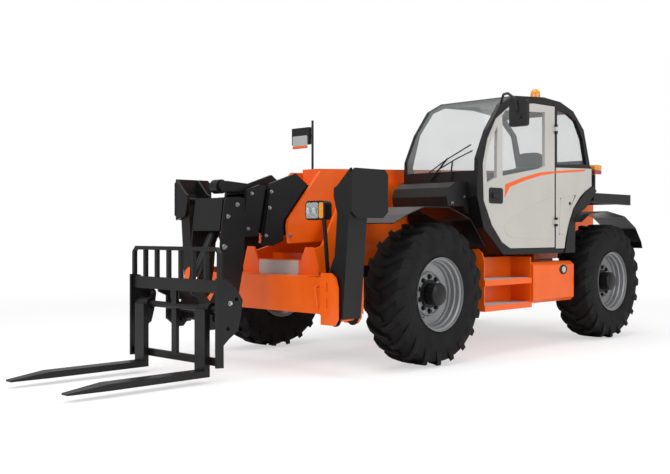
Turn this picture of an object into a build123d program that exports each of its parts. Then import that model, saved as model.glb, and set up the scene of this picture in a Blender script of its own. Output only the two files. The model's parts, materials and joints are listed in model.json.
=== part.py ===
from build123d import *
import os
from math import atan2, cos, degrees, hypot, radians, sin

# Telescopic handler with a four-section boom, a fork carriage and front stabilizers.
# Drawn with X forward, Y to the left, Z up, about the middle of the wheelbase on the ground.
# Every finished piece is then moved so that the origin lies under the middle of the whole machine.

os.makedirs("parts", exist_ok=True)

# Driving dimensions
wheelbase = 3070
tyre_radius = 627
wheel_centre_z = 630
tyre_width = 400
machine_width = 2420
wheel_centre_y = machine_width / 2 - tyre_width / 2
axle_x = wheelbase / 2
front_reach = 4715
rear_reach = 2650
mirror_reach = 1540
origin_shift = (-(front_reach - rear_reach) / 2, -(mirror_reach - machine_width / 2) / 2, 0)

boom_pivot_x = -2350
boom_pivot_z = 1556
boom_slope = 2.3
sides = (("left", 1), ("right", -1))
ends = (("front", 1), ("rear", -1))

moving_gap = 6
bore_gap = 0.4
cut_overrun = 40

boom_side = Plane(
    origin=(boom_pivot_x, 0, boom_pivot_z),
    x_dir=(cos(radians(boom_slope)), 0, -sin(radians(boom_slope))),
    z_dir=(0, -1, 0),
)


def save(sub_part, name):
    """Moves a finished piece to the machine's own origin and writes it."""
    finished = sub_part.moved(Location(origin_shift))
    finished.label = name
    export_step(finished, f"parts/{name}.step")


def at_shares(shares, corner, size):
    """Turns shares of a box into points, from its lower corner and its size."""
    return [(corner[0] + across * size[0], corner[1] + up * size[1]) for across, up in shares]


def block(x_range, y_range, z_range, mode=Mode.ADD):
    """Adds a box between two values on each axis."""
    spans = (x_range, y_range, z_range)
    with Locations(tuple((low + high) / 2 for low, high in spans)):
        Box(*(high - low for low, high in spans), mode=mode)


def slab(plane, points, depth, mode=Mode.ADD):
    """Extrudes a closed outline by a depth along the plane's normal."""
    with BuildSketch(plane) as profile:
        with BuildLine():
            Polyline(*points, close=True)
        make_face()
    extrude(profile.sketch, amount=depth, mode=mode)


def side_slab(points, y_low, y_high, mode=Mode.ADD, plane=Plane.XZ):
    """Extrudes a side-view outline between two Y values."""
    slab(plane.offset(-y_high), points, y_high - y_low, mode)


def front_slab(points, x_low, x_high, mode=Mode.ADD):
    """Extrudes a front-view outline between two X values."""
    slab(Plane.YZ.offset(x_low), points, x_high - x_low, mode)


def plan_slab(points, z_low, z_high, mode=Mode.ADD):
    """Extrudes a top-view outline between two heights."""
    slab(Plane.XY.offset(z_low), points, z_high - z_low, mode)


def bar(start, end, radius, mode=Mode.ADD):
    """Adds a round bar between two points."""
    line = Vector(*end) - Vector(*start)
    with Locations(Plane(origin=Vector(*start), z_dir=line)):
        Cylinder(radius, line.length, align=(Align.CENTER, Align.CENTER, Align.MIN), mode=mode)


def faceted_stack(rows, facets, mode=Mode.ADD):
    """Stacks many-sided bands along Z from rows of height and radius."""
    for (z_low, r_low), (z_high, r_high) in zip(rows, rows[1:]):
        with BuildSketch(Plane.XY.offset(z_low)) as lower:
            RegularPolygon(r_low, facets)
        with BuildSketch(Plane.XY.offset(z_high)) as upper:
            RegularPolygon(r_high, facets)
        loft([lower.sketch.face(), upper.sketch.face()], ruled=True, mode=mode)


def mirrored(sub_part, side):
    """Gives the piece itself for the left side and its mirror image for the right side."""
    return sub_part if side > 0 else mirror(sub_part, about=Plane.XZ)


# Wheels: a many-sided tyre with slanted lugs, and a steel rim with its hub
lug_count = 14
tyre_facets = 2 * lug_count
rim_facets = 24
tread_radius = 596
shoulder_radius = 560
sidewall_radius = 470
bead_radius = 306
tyre_half = tyre_width / 2
tread_half = 168
sidewall_half = 194
bead_half = 160
lug_width = 58
lug_inner = 10
lug_slant = 62
lug_root = 530

rim_flange_radius = 333
rim_flange_half = 172
rim_flange_width = 14
rim_well_radius = 290
rim_disc_low = 30
rim_disc_high = 52
rim_disc_radius = 240
rim_step = 22
hub_radius = 150
hub_face = 150
hub_cap_radius = 96
hub_cap_face = 186
spindle_radius = 62
spindle_end_y = 1040
rim_wall = 14
rim_lip = 11
hub_inner_face = 40
kingpin_y = 790
kingpin_radius = 26
knuckle_radius = 66
knuckle_half_height = 95
yoke_arm = 34
yoke_half = 58
yoke_root_y = 640
yoke_face_y = 715
axle_radius = 82
bulb_radius = 165
bulb_half = 150
saddle_half = 150
frame_plate_y = 355
frame_plate_thickness = 25
frame_arch_z = 861

with BuildPart() as lug:
    with BuildSketch(Plane.YZ.offset(lug_root)):
        with BuildLine():
            Polyline(
                (-(lug_width + lug_slant) / 2, lug_inner),
                ((lug_width - lug_slant) / 2, lug_inner),
                ((lug_width + lug_slant) / 2, tyre_half),
                ((lug_slant - lug_width) / 2, tyre_half),
                close=True,
            )
        make_face()
    extrude(amount=tyre_radius - lug_root)
    with BuildSketch(Plane.XZ.offset(tread_radius)):
        with BuildLine():
            Polyline(
                (tyre_radius + cut_overrun, tread_half),
                (tyre_radius, tread_half),
                (shoulder_radius, tyre_half),
                (shoulder_radius, tyre_half + cut_overrun),
                (tyre_radius + cut_overrun, tyre_half + cut_overrun),
                close=True,
            )
        make_face()
    extrude(amount=-2 * tread_radius, mode=Mode.SUBTRACT)

# Tyre: a many-sided ring with bevelled shoulders; each flat carries one lug, left and right in turn
with BuildPart() as tyre_shape:
    with BuildSketch(Plane.XY.offset(-sidewall_half)):
        RegularPolygon(tread_radius, tyre_facets)
    extrude(amount=2 * sidewall_half)
    sidewall_depth = (tread_radius - sidewall_radius) * cos(radians(180 / tyre_facets))
    for end in (0, -1):
        sidewall = tyre_shape.faces().sort_by(Axis.Z)[end]
        chamfer(sidewall.edges(), sidewall_depth, sidewall_half - tread_half, reference=sidewall)
    with PolarLocations(0, lug_count, start_angle=180 / tyre_facets):
        add(lug.part)
    with PolarLocations(0, lug_count, start_angle=180 / tyre_facets + 360 / tyre_facets):
        add(mirror(lug.part, about=Plane.XY))
    faceted_stack(
        [(-tyre_half, rim_flange_radius), (-bead_half, bead_radius), (bead_half, bead_radius),
         (tyre_half, rim_flange_radius)],
        rim_facets,
        Mode.SUBTRACT,
    )

# Rim: a dished barrel with the disc and the hub that covers the spindle
with BuildPart() as rim_shape:
    faceted_stack(
        [(-rim_flange_half - rim_flange_width, rim_flange_radius - rim_lip),
         (-bead_half, bead_radius), (bead_half, bead_radius),
         (rim_flange_half + rim_flange_width, rim_flange_radius - rim_lip)],
        rim_facets,
    )
    faceted_stack(
        [(-tyre_half, rim_flange_radius - rim_wall), (-bead_half + rim_wall, rim_well_radius),
         (rim_disc_low, rim_well_radius)],
        rim_facets,
        Mode.SUBTRACT,
    )
    faceted_stack(
        [(rim_disc_high, rim_disc_radius), (rim_disc_high + rim_step, rim_disc_radius + rim_step),
         (bead_half - rim_wall - rim_step, rim_disc_radius + rim_step),
         (bead_half - rim_wall, rim_well_radius), (tyre_half, rim_flange_radius - rim_wall)],
        rim_facets,
        Mode.SUBTRACT,
    )
    faceted_stack([(-hub_inner_face, hub_radius), (hub_face, hub_radius)], rim_facets)
    faceted_stack([(hub_face, hub_cap_radius), (hub_cap_face, hub_cap_radius)], rim_facets)
    bar((0, 0, -hub_inner_face), (0, 0, spindle_end_y + moving_gap - wheel_centre_y),
        spindle_radius + bore_gap, Mode.SUBTRACT)

for end_name, end_sign in ends:
    for side_name, side in sides:
        wheel_plane = Plane(origin=(end_sign * axle_x, wheel_centre_y, wheel_centre_z),
                            x_dir=(1, 0, 0), z_dir=(0, 1, 0))
        corner_name = f"{end_name}_{side_name}"
        save(mirrored(tyre_shape.part.moved(wheel_plane.location), side), f"tyre_{corner_name}")
        save(mirrored(rim_shape.part.moved(wheel_plane.location), side), f"rim_{corner_name}")

# Knuckles: a round post on two upright pins, with the spindle the wheel turns on
for end_name, end_sign in ends:
    for side_name, side in sides:
        with BuildPart() as knuckle:
            centre_x = end_sign * axle_x
            bar((centre_x, kingpin_y, wheel_centre_z - knuckle_half_height),
                (centre_x, kingpin_y, wheel_centre_z + knuckle_half_height), knuckle_radius)
            bar((centre_x, kingpin_y, wheel_centre_z), (centre_x, spindle_end_y, wheel_centre_z),
                spindle_radius)
            bar((centre_x, kingpin_y, wheel_centre_z - knuckle_half_height - cut_overrun),
                (centre_x, kingpin_y, wheel_centre_z + knuckle_half_height + cut_overrun),
                kingpin_radius + bore_gap, Mode.SUBTRACT)
        save(mirrored(knuckle.part, side), f"knuckle_{end_name}_{side_name}")

# Axles: a round housing with a differential bulb and a yoke at each end for the knuckles
for end_name, end_sign in ends:
    centre_x = end_sign * axle_x
    yoke_low = wheel_centre_z - knuckle_half_height - moving_gap - yoke_arm
    yoke_high = wheel_centre_z + knuckle_half_height + moving_gap + yoke_arm
    with BuildPart() as axle:
        bar((centre_x, -yoke_root_y, wheel_centre_z), (centre_x, yoke_root_y, wheel_centre_z), axle_radius)
        bar((centre_x, -bulb_half, wheel_centre_z), (centre_x, bulb_half, wheel_centre_z), bulb_radius)
        block((centre_x - saddle_half, centre_x + saddle_half), (-frame_plate_y, frame_plate_y),
              (wheel_centre_z, frame_arch_z))
        for _, side in sides:
            for low, high in ((yoke_low, yoke_low + yoke_arm), (yoke_high - yoke_arm, yoke_high)):
                block((centre_x - yoke_half, centre_x + yoke_half),
                      sorted((side * yoke_root_y, side * (kingpin_y + yoke_half))), (low, high))
            block((centre_x - yoke_half, centre_x + yoke_half),
                  sorted((side * yoke_root_y, side * yoke_face_y)), (yoke_low, yoke_high))
            bar((centre_x, side * kingpin_y, yoke_low), (centre_x, side * kingpin_y, yoke_high),
                kingpin_radius)
    save(axle.part, f"axle_{end_name}")

# Main frame: two long side plates joined by cross plates, with the boom's rear tower
frame_rear_x = -2650
frame_front_x = 2330
frame_low_z = 480
frame_high_z = 1800
frame_size = (frame_front_x - frame_rear_x, frame_high_z - frame_low_z)
frame_plate_shares = [
    (0.034, 0.318), (0.08, 0.289), (0.277, 0.289), (0.311, 0.03), (0.749, 0.03), (0.779, 0.289),
    (0.902, 0.289), (0.926, 0.03), (1, 0.03), (1, 0.395), (0.964, 0.43), (0.924, 0.697),
    (0.734, 0.697), (0.718, 0.348), (0.283, 0.348), (0.279, 0.697), (0.231, 0.697), (0.12, 0.758),
    (0.085, 0.96), (0.058, 1), (0.02, 0.985), (0, 0.88), (0.002, 0.545),
]
belly_x = (-1080, 1060)
belly_z = (520, 540)
bulkhead_x = (2100, 2125)
bulkhead_z = (520, 980)
tail_plate_x = (-2630, -2606)
tail_plate_z = (900, 1240)
boom_pin_radius = 45
tower_disc_radius = 150
tower_disc_thickness = 20
outrigger_z = (880, 955)
outriggers = {1: ((-560, -480), (560, 640)), -1: ((-740, -690), (400, 450))}
outrigger_reach = 855
hood_post_y = (-414, -360)
hood_hinge = (-402, 1548)
hinge_knuckle = 24
hinge_pin_radius = 8
hinge_ring_radius = 20
lift_pin = (0, 0, 620)
lift_pin_radius = 30
lift_eye_half = 48
lift_lug_thickness = 22
lift_lug_half = 85
lift_lug_top_z = 690

with BuildPart() as main_frame:
    frame_outline = at_shares(frame_plate_shares, (frame_rear_x, frame_low_z), frame_size)
    for _, side in sides:
        y_low, y_high = sorted((side * frame_plate_y, side * (frame_plate_y - frame_plate_thickness)))
        side_slab(frame_outline, y_low, y_high)
    for x_range, z_range in ((belly_x, belly_z), (bulkhead_x, bulkhead_z), (tail_plate_x, tail_plate_z)):
        block(x_range, (-frame_plate_y, frame_plate_y), z_range)
    for _, side in sides:
        for x_range in outriggers[side]:
            block(x_range, sorted((side * (frame_plate_y - frame_plate_thickness), side * outrigger_reach)),
                  outrigger_z)
        lug_y = lift_eye_half + moving_gap
        block((lift_pin[0] - lift_lug_half, lift_pin[0] + lift_lug_half),
              sorted((side * lug_y, side * (lug_y + lift_lug_thickness))), (belly_z[0], lift_lug_top_z))
    lug_face = lift_eye_half + moving_gap + lift_lug_thickness
    bar((lift_pin[0], -lug_face, lift_pin[2]), (lift_pin[0], lug_face, lift_pin[2]), lift_pin_radius)
    for x_range in outriggers[-1]:
        block(x_range, hood_post_y, (outrigger_z[0], hood_hinge[1]))
        bar((x_range[0] - hinge_knuckle, *hood_hinge), (x_range[1] + hinge_knuckle, *hood_hinge),
            hinge_pin_radius)
    disc_y = frame_plate_y + tower_disc_thickness
    bar((boom_pivot_x, -disc_y, boom_pivot_z), (boom_pivot_x, disc_y, boom_pivot_z), boom_pin_radius)
    for _, side in sides:
        bar((boom_pivot_x, side * frame_plate_y, boom_pivot_z), (boom_pivot_x, side * disc_y, boom_pivot_z),
            tower_disc_radius)
save(main_frame.part, "main_frame")

# Front crossmember: front and rear plates, a short top and a floor, open at the ends for the cylinders
cross_half = 830
cross_front_x = (2588, 2600)
cross_rear_x = (2330, 2350)
cross_z = (500, 800)
cross_plate = 14
cross_top_half = 590
clevis_y = (830, 1010)
clevis_z = (420, 840)
clevis_front_x = (2622, 2650)
clevis_rear_x = (2350, 2376)
clevis_shares = [(0, 0), (0.8, 0), (1, 0.12), (1, 0.72), (0.85, 0.92), (0.6, 1), (0, 1)]
clevis_slot_y = 895
clevis_slot_z = (560, 690)
clevis_slot = (8, 22, 70)
handle_points = [(2594, 770, 735), (2652, 770, 720), (2652, 800, 560), (2594, 800, 545)]
handle_radius = 9
stab_pivot_y = 950
stab_pivot_z = 470
stab_pin_radius = 26
stab_base_y = 720
stab_base_z = 620
stab_base_boss = 50
leg_x = (2392, 2608)
cyl_x = 2500
name_plate_half = 270
name_plate_z = (790, 930)
gusset_shares = [(0, 0), (1, 0), (1, 0.25), (0.75, 1), (0.35, 1), (0, 0.3)]
gusset_size = (230, 240)
gusset_inner_y = 260

with BuildPart() as crossmember:
    for x_range in (cross_front_x, cross_rear_x):
        block(x_range, (-cross_half, cross_half), cross_z)
    inner_x = (cross_rear_x[0], cross_front_x[1])
    block(inner_x, (-cross_half, cross_half), (cross_z[0], cross_z[0] + cross_plate))
    block(inner_x, (-cross_top_half, cross_top_half), (cross_z[1] - cross_plate, cross_z[1]))
    block(cross_rear_x, (-name_plate_half, name_plate_half), name_plate_z)
    block((frame_front_x, cross_rear_x[1]), (-frame_plate_y, frame_plate_y), cross_z)
    for _, side in sides:
        clevis = at_shares(clevis_shares, (clevis_y[0], clevis_z[0]),
                           (clevis_y[1] - clevis_y[0], clevis_z[1] - clevis_z[0]))
        for x_range in (clevis_front_x, clevis_rear_x):
            front_slab([(side * y, z) for y, z in clevis], *x_range)
        for z in clevis_slot_z:
            block((clevis_front_x[1] - clevis_slot[0], clevis_front_x[1]),
                  sorted((side * clevis_slot_y, side * (clevis_slot_y + clevis_slot[1]))),
                  (z, z + clevis_slot[2]), Mode.SUBTRACT)
        for start, end in zip(handle_points, handle_points[1:]):
            bar((start[0], side * start[1], start[2]), (end[0], side * end[1], end[2]), handle_radius)
            with Locations((end[0], side * end[1], end[2])):
                Sphere(handle_radius)
        end_y = side * (cross_half - cross_plate)
        block((cross_front_x[0], clevis_front_x[1]), sorted((end_y, side * cross_half)), cross_z)
        block((cross_rear_x[0], clevis_rear_x[1]), sorted((end_y, side * clevis_y[1])), cross_z)
        bar((clevis_rear_x[0], side * stab_pivot_y, stab_pivot_z),
            (clevis_front_x[1], side * stab_pivot_y, stab_pivot_z), stab_pin_radius)
        bar((cross_rear_x[0], side * stab_base_y, stab_base_z),
            (cross_front_x[1], side * stab_base_y, stab_base_z), stab_pin_radius)
        gusset = at_shares(gusset_shares, (gusset_inner_y, cross_z[1]), gusset_size)
        front_slab([(side * y, z) for y, z in gusset], cross_rear_x[0], cross_rear_x[1])
save(crossmember.part, "front_crossmember")

# Stabilizers: a channel-shaped leg on the clevis, a ground pad on its end, and a cylinder
leg_top_z = 1540
leg_lean = 90
leg_depth = 130
leg_offset = 85
leg_wall = 12
leg_foot_radius = 62
pad_pivot_y = 1030
pad_pivot_z = 1480
pad_pin_radius = 22
pad_plate_y = (1150, 1168)
pad_plate_x = (2205, 2642)
pad_plate_z = (1285, 1680)
pad_plate_shares = [(0.14, 0), (0.86, 0), (1, 0.12), (1, 0.9), (0.9, 1), (0.1, 1), (0, 0.9), (0, 0.12)]
pad_ear_x = ((2360, 2384), (2616, 2640))
pad_ear_shares = [(0, 0.42), (0.2, 0.1), (1, 0), (1, 1), (0.2, 0.65), (0, 0.6)]
stab_eye_y = 930
stab_eye_z = 1050
stab_barrel_radius = 35
stab_rod_radius = 22
stab_barrel_share = 0.82
stab_eye_radius = 44
stab_eye_half = 36

for side_name, side in sides:
    with BuildPart() as leg:
        outer_low = stab_pivot_y + leg_offset
        leg_outline = [
            (outer_low - leg_depth, stab_pivot_z), (outer_low, stab_pivot_z),
            (outer_low + leg_lean, leg_top_z), (outer_low + leg_lean - leg_depth, leg_top_z),
        ]
        front_slab(leg_outline, *leg_x)
        bar((leg_x[0], stab_pivot_y, stab_pivot_z), (leg_x[1], stab_pivot_y, stab_pivot_z),
            leg_foot_radius)
        channel = [
            (outer_low - leg_depth - cut_overrun, stab_pivot_z - leg_depth),
            (outer_low - leg_wall, stab_pivot_z - leg_depth),
            (outer_low - leg_wall, stab_pivot_z),
            (outer_low - leg_wall + leg_lean, leg_top_z),
            (outer_low - leg_wall + leg_lean, leg_top_z + cut_overrun),
            (outer_low - leg_depth - cut_overrun, leg_top_z + cut_overrun),
        ]
        front_slab(channel, leg_x[0] + leg_wall, leg_x[1] - leg_wall, Mode.SUBTRACT)
        bar((leg_x[0] - cut_overrun, stab_pivot_y, stab_pivot_z),
            (leg_x[1] + cut_overrun, stab_pivot_y, stab_pivot_z), stab_pin_radius + bore_gap, Mode.SUBTRACT)
        bar((pad_ear_x[0][0], pad_pivot_y, pad_pivot_z), (pad_ear_x[1][1], pad_pivot_y, pad_pivot_z),
            pad_pin_radius)
    save(mirrored(leg.part, side), f"stabilizer_leg_{side_name}")

    with BuildPart() as pad:
        pad_size = (pad_plate_x[1] - pad_plate_x[0], pad_plate_z[1] - pad_plate_z[0])
        side_slab(at_shares(pad_plate_shares, (pad_plate_x[0], pad_plate_z[0]), pad_size), *pad_plate_y)
        ear_low_y = pad_pivot_y - leg_foot_radius
        ear = at_shares(pad_ear_shares, (ear_low_y, pad_plate_z[0]),
                        (pad_plate_y[0] - ear_low_y, pad_plate_z[1] - pad_plate_z[0]))
        for x_range in pad_ear_x:
            front_slab(ear, *x_range)
            bar((x_range[0] - cut_overrun, pad_pivot_y, pad_pivot_z),
                (x_range[1] + cut_overrun, pad_pivot_y, pad_pivot_z),
                pad_pin_radius + bore_gap, Mode.SUBTRACT)
    save(mirrored(pad.part, side), f"stabilizer_pad_{side_name}")

    stab_base = Vector(cyl_x, stab_base_y, stab_base_z)
    stab_eye = Vector(cyl_x, stab_eye_y, stab_eye_z)
    stab_axis = (stab_eye - stab_base).normalized()
    stab_length = (stab_eye - stab_base).length
    stab_half = Vector(stab_eye_half, 0, 0)
    stab_bore_start = stab_base + stab_axis * (stab_base_boss + stab_rod_radius)
    with BuildPart() as barrel:
        bar(stab_base, stab_base + stab_axis * stab_length * stab_barrel_share, stab_barrel_radius)
        bar(stab_base - stab_half, stab_base + stab_half, stab_base_boss)
        bar(stab_base - stab_half * 2, stab_base + stab_half * 2, stab_pin_radius + bore_gap, Mode.SUBTRACT)
        bar(stab_bore_start, stab_eye, stab_rod_radius + bore_gap, Mode.SUBTRACT)
    save(mirrored(barrel.part, side), f"stabilizer_barrel_{side_name}")
    with BuildPart() as rod:
        bar(stab_bore_start + stab_axis * bore_gap, stab_eye, stab_rod_radius)
        bar(stab_eye - stab_half, stab_eye + stab_half, stab_eye_radius)
    save(mirrored(rod.part, side), f"stabilizer_rod_{side_name}")

# Boom: four box sections, each with a slanted collar, and a head that bends down
section_half_widths = (182, 155, 127, 100)
section_half_heights = (230, 193, 158, 125)
section_walls = (10, 9, 8, 8)
section_rear_x = (-130, 150, 200, 250)
section_front_low_x = (4785, 5055, 5255, 5312)
section_front_high_x = (4475, 4960, 5200, 5312)
pad_length = 110
front_pad_x = 4250
pad_gap = 0.5
collar_plate = 22
section_names = ("boom_outer", "boom_second", "boom_third", "boom_inner")
collar_size = (1000, 480)
collar_shares = (
    [(0.03, -0.479), (0.2, -0.61), (0.773, -0.61), (0.79, -0.3), (0.774, -0.18), (0.36, 0.72), (0.12, 0.71),
     (0.03, 0.479)],
    [(1.06, -0.615), (0.95, -0.64), (0.82, -0.56), (0.82, -0.18), (0.51, 0.47), (0.645, 0.67),
     (0.95, 0.49)],
    [(1.262, -0.45), (1.092, -0.455), (0.982, 0.45), (1.05, 0.467), (1.195, 0.382)],
)
collar_origin = (4000, 0)
hose_tray_x = (250, 4300)
hose_tray_z = (230, 370)
hose_tray_half = 95
lift_eye_local = (700, -430)
lift_ear_shares = [(0, 1), (0.28, 0.1), (0.4, 0), (0.6, 0), (0.72, 0.1), (1, 1)]
lift_ear_size = (420, 290)
lift_ear_thickness = 22
boom_hub_radius = 110

head_corner = (2905, 420)
head_size = (300, 1045)
head_shares = [
    (0.083, 0.99), (0.737, 0.997), (0.89, 0.679), (0.95, 0.364), (1.1, 0.24), (1.28, 0.16), (1.35, 0.06),
    (1.2, 0), (0.95, 0), (0.267, 0.211), (0.123, 0.411), (0, 0.794),
]
head_half = 200
head_plate = 16
head_cover_shares = [(0.683, 0.99), (0.737, 0.992), (0.863, 0.729), (0.81, 0.727)]
head_cover_y = (-190, 168)
head_bulkhead_x = (2918, 2950)
head_bulkhead_z = (1225, 1455)
tilt_pivot = (3250, 0, 470)
tilt_pin_radius = 30
tilt_pin_reach = 250
tilt_base = (3020, 0, 1290)
tilt_eye = (3340, 0, 680)
sheave_local = (5386, 215)
sheave_radius = 60
sheave_width = 90
sheave_pin_radius = 22
sheave_arm_y = 58
sheave_arm_plate = 14
sheave_arm_corner = (5010, 150)
sheave_arm_size = (420, 112)
sheave_arm_shares = [
    (0, 0), (0.43, 0), (0.55, 0.2), (0.93, 0.2), (1, 0.45), (1, 0.76), (0.93, 1), (0.81, 1), (0, 0.67),
]

for index, name in enumerate(section_names):
    half_width = section_half_widths[index]
    half_height = section_half_heights[index]
    wall = section_walls[index]
    rear = section_rear_x[index]
    front_low = section_front_low_x[index]
    front_high = section_front_high_x[index]
    with BuildPart() as section:
        outline = [(rear, -half_height), (front_low, -half_height),
                   (front_high, half_height), (rear, half_height)]
        side_slab(outline, -half_width, half_width, plane=boom_side)
        if index < len(collar_shares):
            collar = at_shares(collar_shares[index], collar_origin, collar_size)
            for _, side in sides:
                side_slab(collar, *sorted((side * (half_width - wall), side * (half_width + collar_plate))),
                          plane=boom_side)
        bore = [(rear - cut_overrun, wall - half_height), (front_low + cut_overrun, wall - half_height),
                (front_low + cut_overrun, half_height - wall), (rear - cut_overrun, half_height - wall)]
        side_slab(bore, wall - half_width, half_width - wall, Mode.SUBTRACT, boom_side)
        if index > 0:
            outer_width = section_half_widths[index - 1] - section_walls[index - 1] - pad_gap
            outer_height = section_half_heights[index - 1] - section_walls[index - 1] - pad_gap
            ring = [(rear, -outer_height), (rear + pad_length, -outer_height),
                    (rear + pad_length, outer_height), (rear, outer_height)]
            side_slab(ring, -outer_width, outer_width, plane=boom_side)
            low_x, high_x = rear - cut_overrun, rear + pad_length + cut_overrun
            hole = [(low_x, wall - half_height), (high_x, wall - half_height),
                    (high_x, half_height - wall), (low_x, half_height - wall)]
            side_slab(hole, wall - half_width, half_width - wall, Mode.SUBTRACT, boom_side)
        if index + 1 < len(section_names):
            child_width = section_half_widths[index + 1] + pad_gap
            child_height = section_half_heights[index + 1] + pad_gap
            pads = [(front_pad_x, -half_height), (front_pad_x + pad_length, -half_height),
                    (front_pad_x + pad_length, half_height), (front_pad_x, half_height)]
            side_slab(pads, -half_width, half_width, plane=boom_side)
            low_x, high_x = front_pad_x - cut_overrun, front_pad_x + pad_length + cut_overrun
            hole = [(low_x, -child_height), (high_x, -child_height),
                    (high_x, child_height), (low_x, child_height)]
            side_slab(hole, -child_width, child_width, Mode.SUBTRACT, boom_side)
        if index == 0:
            ear_corner_local = (lift_eye_local[0] - lift_ear_size[0] / 2, -half_height - lift_ear_size[1])
            lift_ear = at_shares(lift_ear_shares, ear_corner_local, lift_ear_size)
            ear_y = lift_eye_half + moving_gap
            for _, side in sides:
                side_slab(lift_ear, *sorted((side * ear_y, side * (ear_y + lift_ear_thickness))),
                          plane=boom_side)
            tray = [(hose_tray_x[0], half_height), (hose_tray_x[1], half_height),
                    (hose_tray_x[1], hose_tray_z[1]), (hose_tray_x[0], hose_tray_z[1])]
            side_slab(tray, -hose_tray_half, hose_tray_half, plane=boom_side)
            bar((boom_pivot_x, -frame_plate_y + frame_plate_thickness + moving_gap, boom_pivot_z),
                (boom_pivot_x, frame_plate_y - frame_plate_thickness - moving_gap, boom_pivot_z),
                boom_hub_radius)
            bar((boom_pivot_x, -frame_plate_y, boom_pivot_z), (boom_pivot_x, frame_plate_y, boom_pivot_z),
                boom_pin_radius + bore_gap, Mode.SUBTRACT)
        if name == "boom_third":
            sheave_centre = boom_side.from_local_coords((*sheave_local, 0))
            sheave_half = Vector(0, sheave_width / 2, 0)
            sheave_reach = Vector(0, sheave_arm_y + sheave_arm_plate, 0)
            bar(sheave_centre - sheave_half, sheave_centre + sheave_half, sheave_radius)
            bar(sheave_centre - sheave_reach, sheave_centre + sheave_reach, sheave_pin_radius)
            sheave_arm = at_shares(sheave_arm_shares, sheave_arm_corner, sheave_arm_size)
            for _, side in sides:
                arm_faces = sorted((side * sheave_arm_y, side * (sheave_arm_y + sheave_arm_plate)))
                side_slab(sheave_arm, *arm_faces, plane=boom_side)
        if name == "boom_inner":
            head = at_shares(head_shares, head_corner, head_size)
            for _, side in sides:
                side_slab(head, *sorted((side * head_half, side * (head_half - head_plate))))
            side_slab(at_shares(head_cover_shares, head_corner, head_size), *head_cover_y)
            block(head_bulkhead_x, (-head_half, head_half), head_bulkhead_z)
            bar((tilt_pivot[0], -tilt_pin_reach, tilt_pivot[2]),
                (tilt_pivot[0], tilt_pin_reach, tilt_pivot[2]), tilt_pin_radius)
            bar((tilt_base[0], -head_half, tilt_base[2]), (tilt_base[0], head_half, tilt_base[2]),
                tilt_pin_radius)
    save(section.part, name)

# Lift cylinder: a barrel on the frame under the boom and a rod to the boom's ears
lift_eye_radius = 58
lift_barrel_radius = 47
lift_rod_radius = 36
lift_barrel_share = 0.86
lift_base = Vector(*lift_pin)
lift_eye = boom_side.from_local_coords((lift_eye_local[0], lift_eye_local[1], 0))
lift_axis = (lift_eye - lift_base).normalized()
lift_length = (lift_eye - lift_base).length
lift_half = Vector(0, lift_eye_half, 0)
with BuildPart() as lift_barrel:
    bar(lift_base, lift_base + lift_axis * lift_length * lift_barrel_share, lift_barrel_radius)
    bar(lift_base - lift_half, lift_base + lift_half, lift_eye_radius)
    bar(lift_base - lift_half * 2, lift_base + lift_half * 2, lift_pin_radius + bore_gap, Mode.SUBTRACT)
    bar(lift_base + lift_axis * (lift_eye_radius + lift_rod_radius), lift_eye,
        lift_rod_radius + bore_gap, Mode.SUBTRACT)
save(lift_barrel.part, "lift_barrel")
with BuildPart() as lift_rod:
    bar(lift_base + lift_axis * (lift_eye_radius + lift_rod_radius + bore_gap), lift_eye, lift_rod_radius)
    bar(lift_eye - lift_half, lift_eye + lift_half, lift_eye_radius)
save(lift_rod.part, "lift_rod")

# Tilt cylinder: barrel inside the boom head, rod to the carriage
tilt_barrel_radius = 45
tilt_base_radius = 48
tilt_rod_radius = 24
tilt_eye_radius = 38
tilt_eye_half = 34
tilt_barrel_share = 0.8
tilt_rod_stroke_back = 56
tilt_base_point = Vector(*tilt_base)
tilt_eye_point = Vector(*tilt_eye)
tilt_axis = (tilt_eye_point - tilt_base_point).normalized()
tilt_length = (tilt_eye_point - tilt_base_point).length
tilt_half = Vector(0, tilt_eye_half, 0)
tilt_bore_start = tilt_base_point + tilt_axis * (tilt_barrel_radius + tilt_rod_radius)
with BuildPart() as tilt_barrel:
    bar(tilt_base_point, tilt_base_point + tilt_axis * tilt_length * tilt_barrel_share, tilt_barrel_radius)
    bar(tilt_base_point - tilt_half, tilt_base_point + tilt_half, tilt_base_radius)
    bar(tilt_base_point - tilt_half * 2, tilt_base_point + tilt_half * 2, tilt_pin_radius + bore_gap,
        Mode.SUBTRACT)
    bar(tilt_bore_start, tilt_eye_point, tilt_rod_radius + bore_gap, Mode.SUBTRACT)
save(tilt_barrel.part, "tilt_barrel")
with BuildPart() as tilt_rod:
    bar(tilt_bore_start + tilt_axis * tilt_rod_stroke_back, tilt_eye_point, tilt_rod_radius)
    bar(tilt_eye_point - tilt_half, tilt_eye_point + tilt_half, tilt_eye_radius)
save(tilt_rod.part, "tilt_rod")

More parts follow.
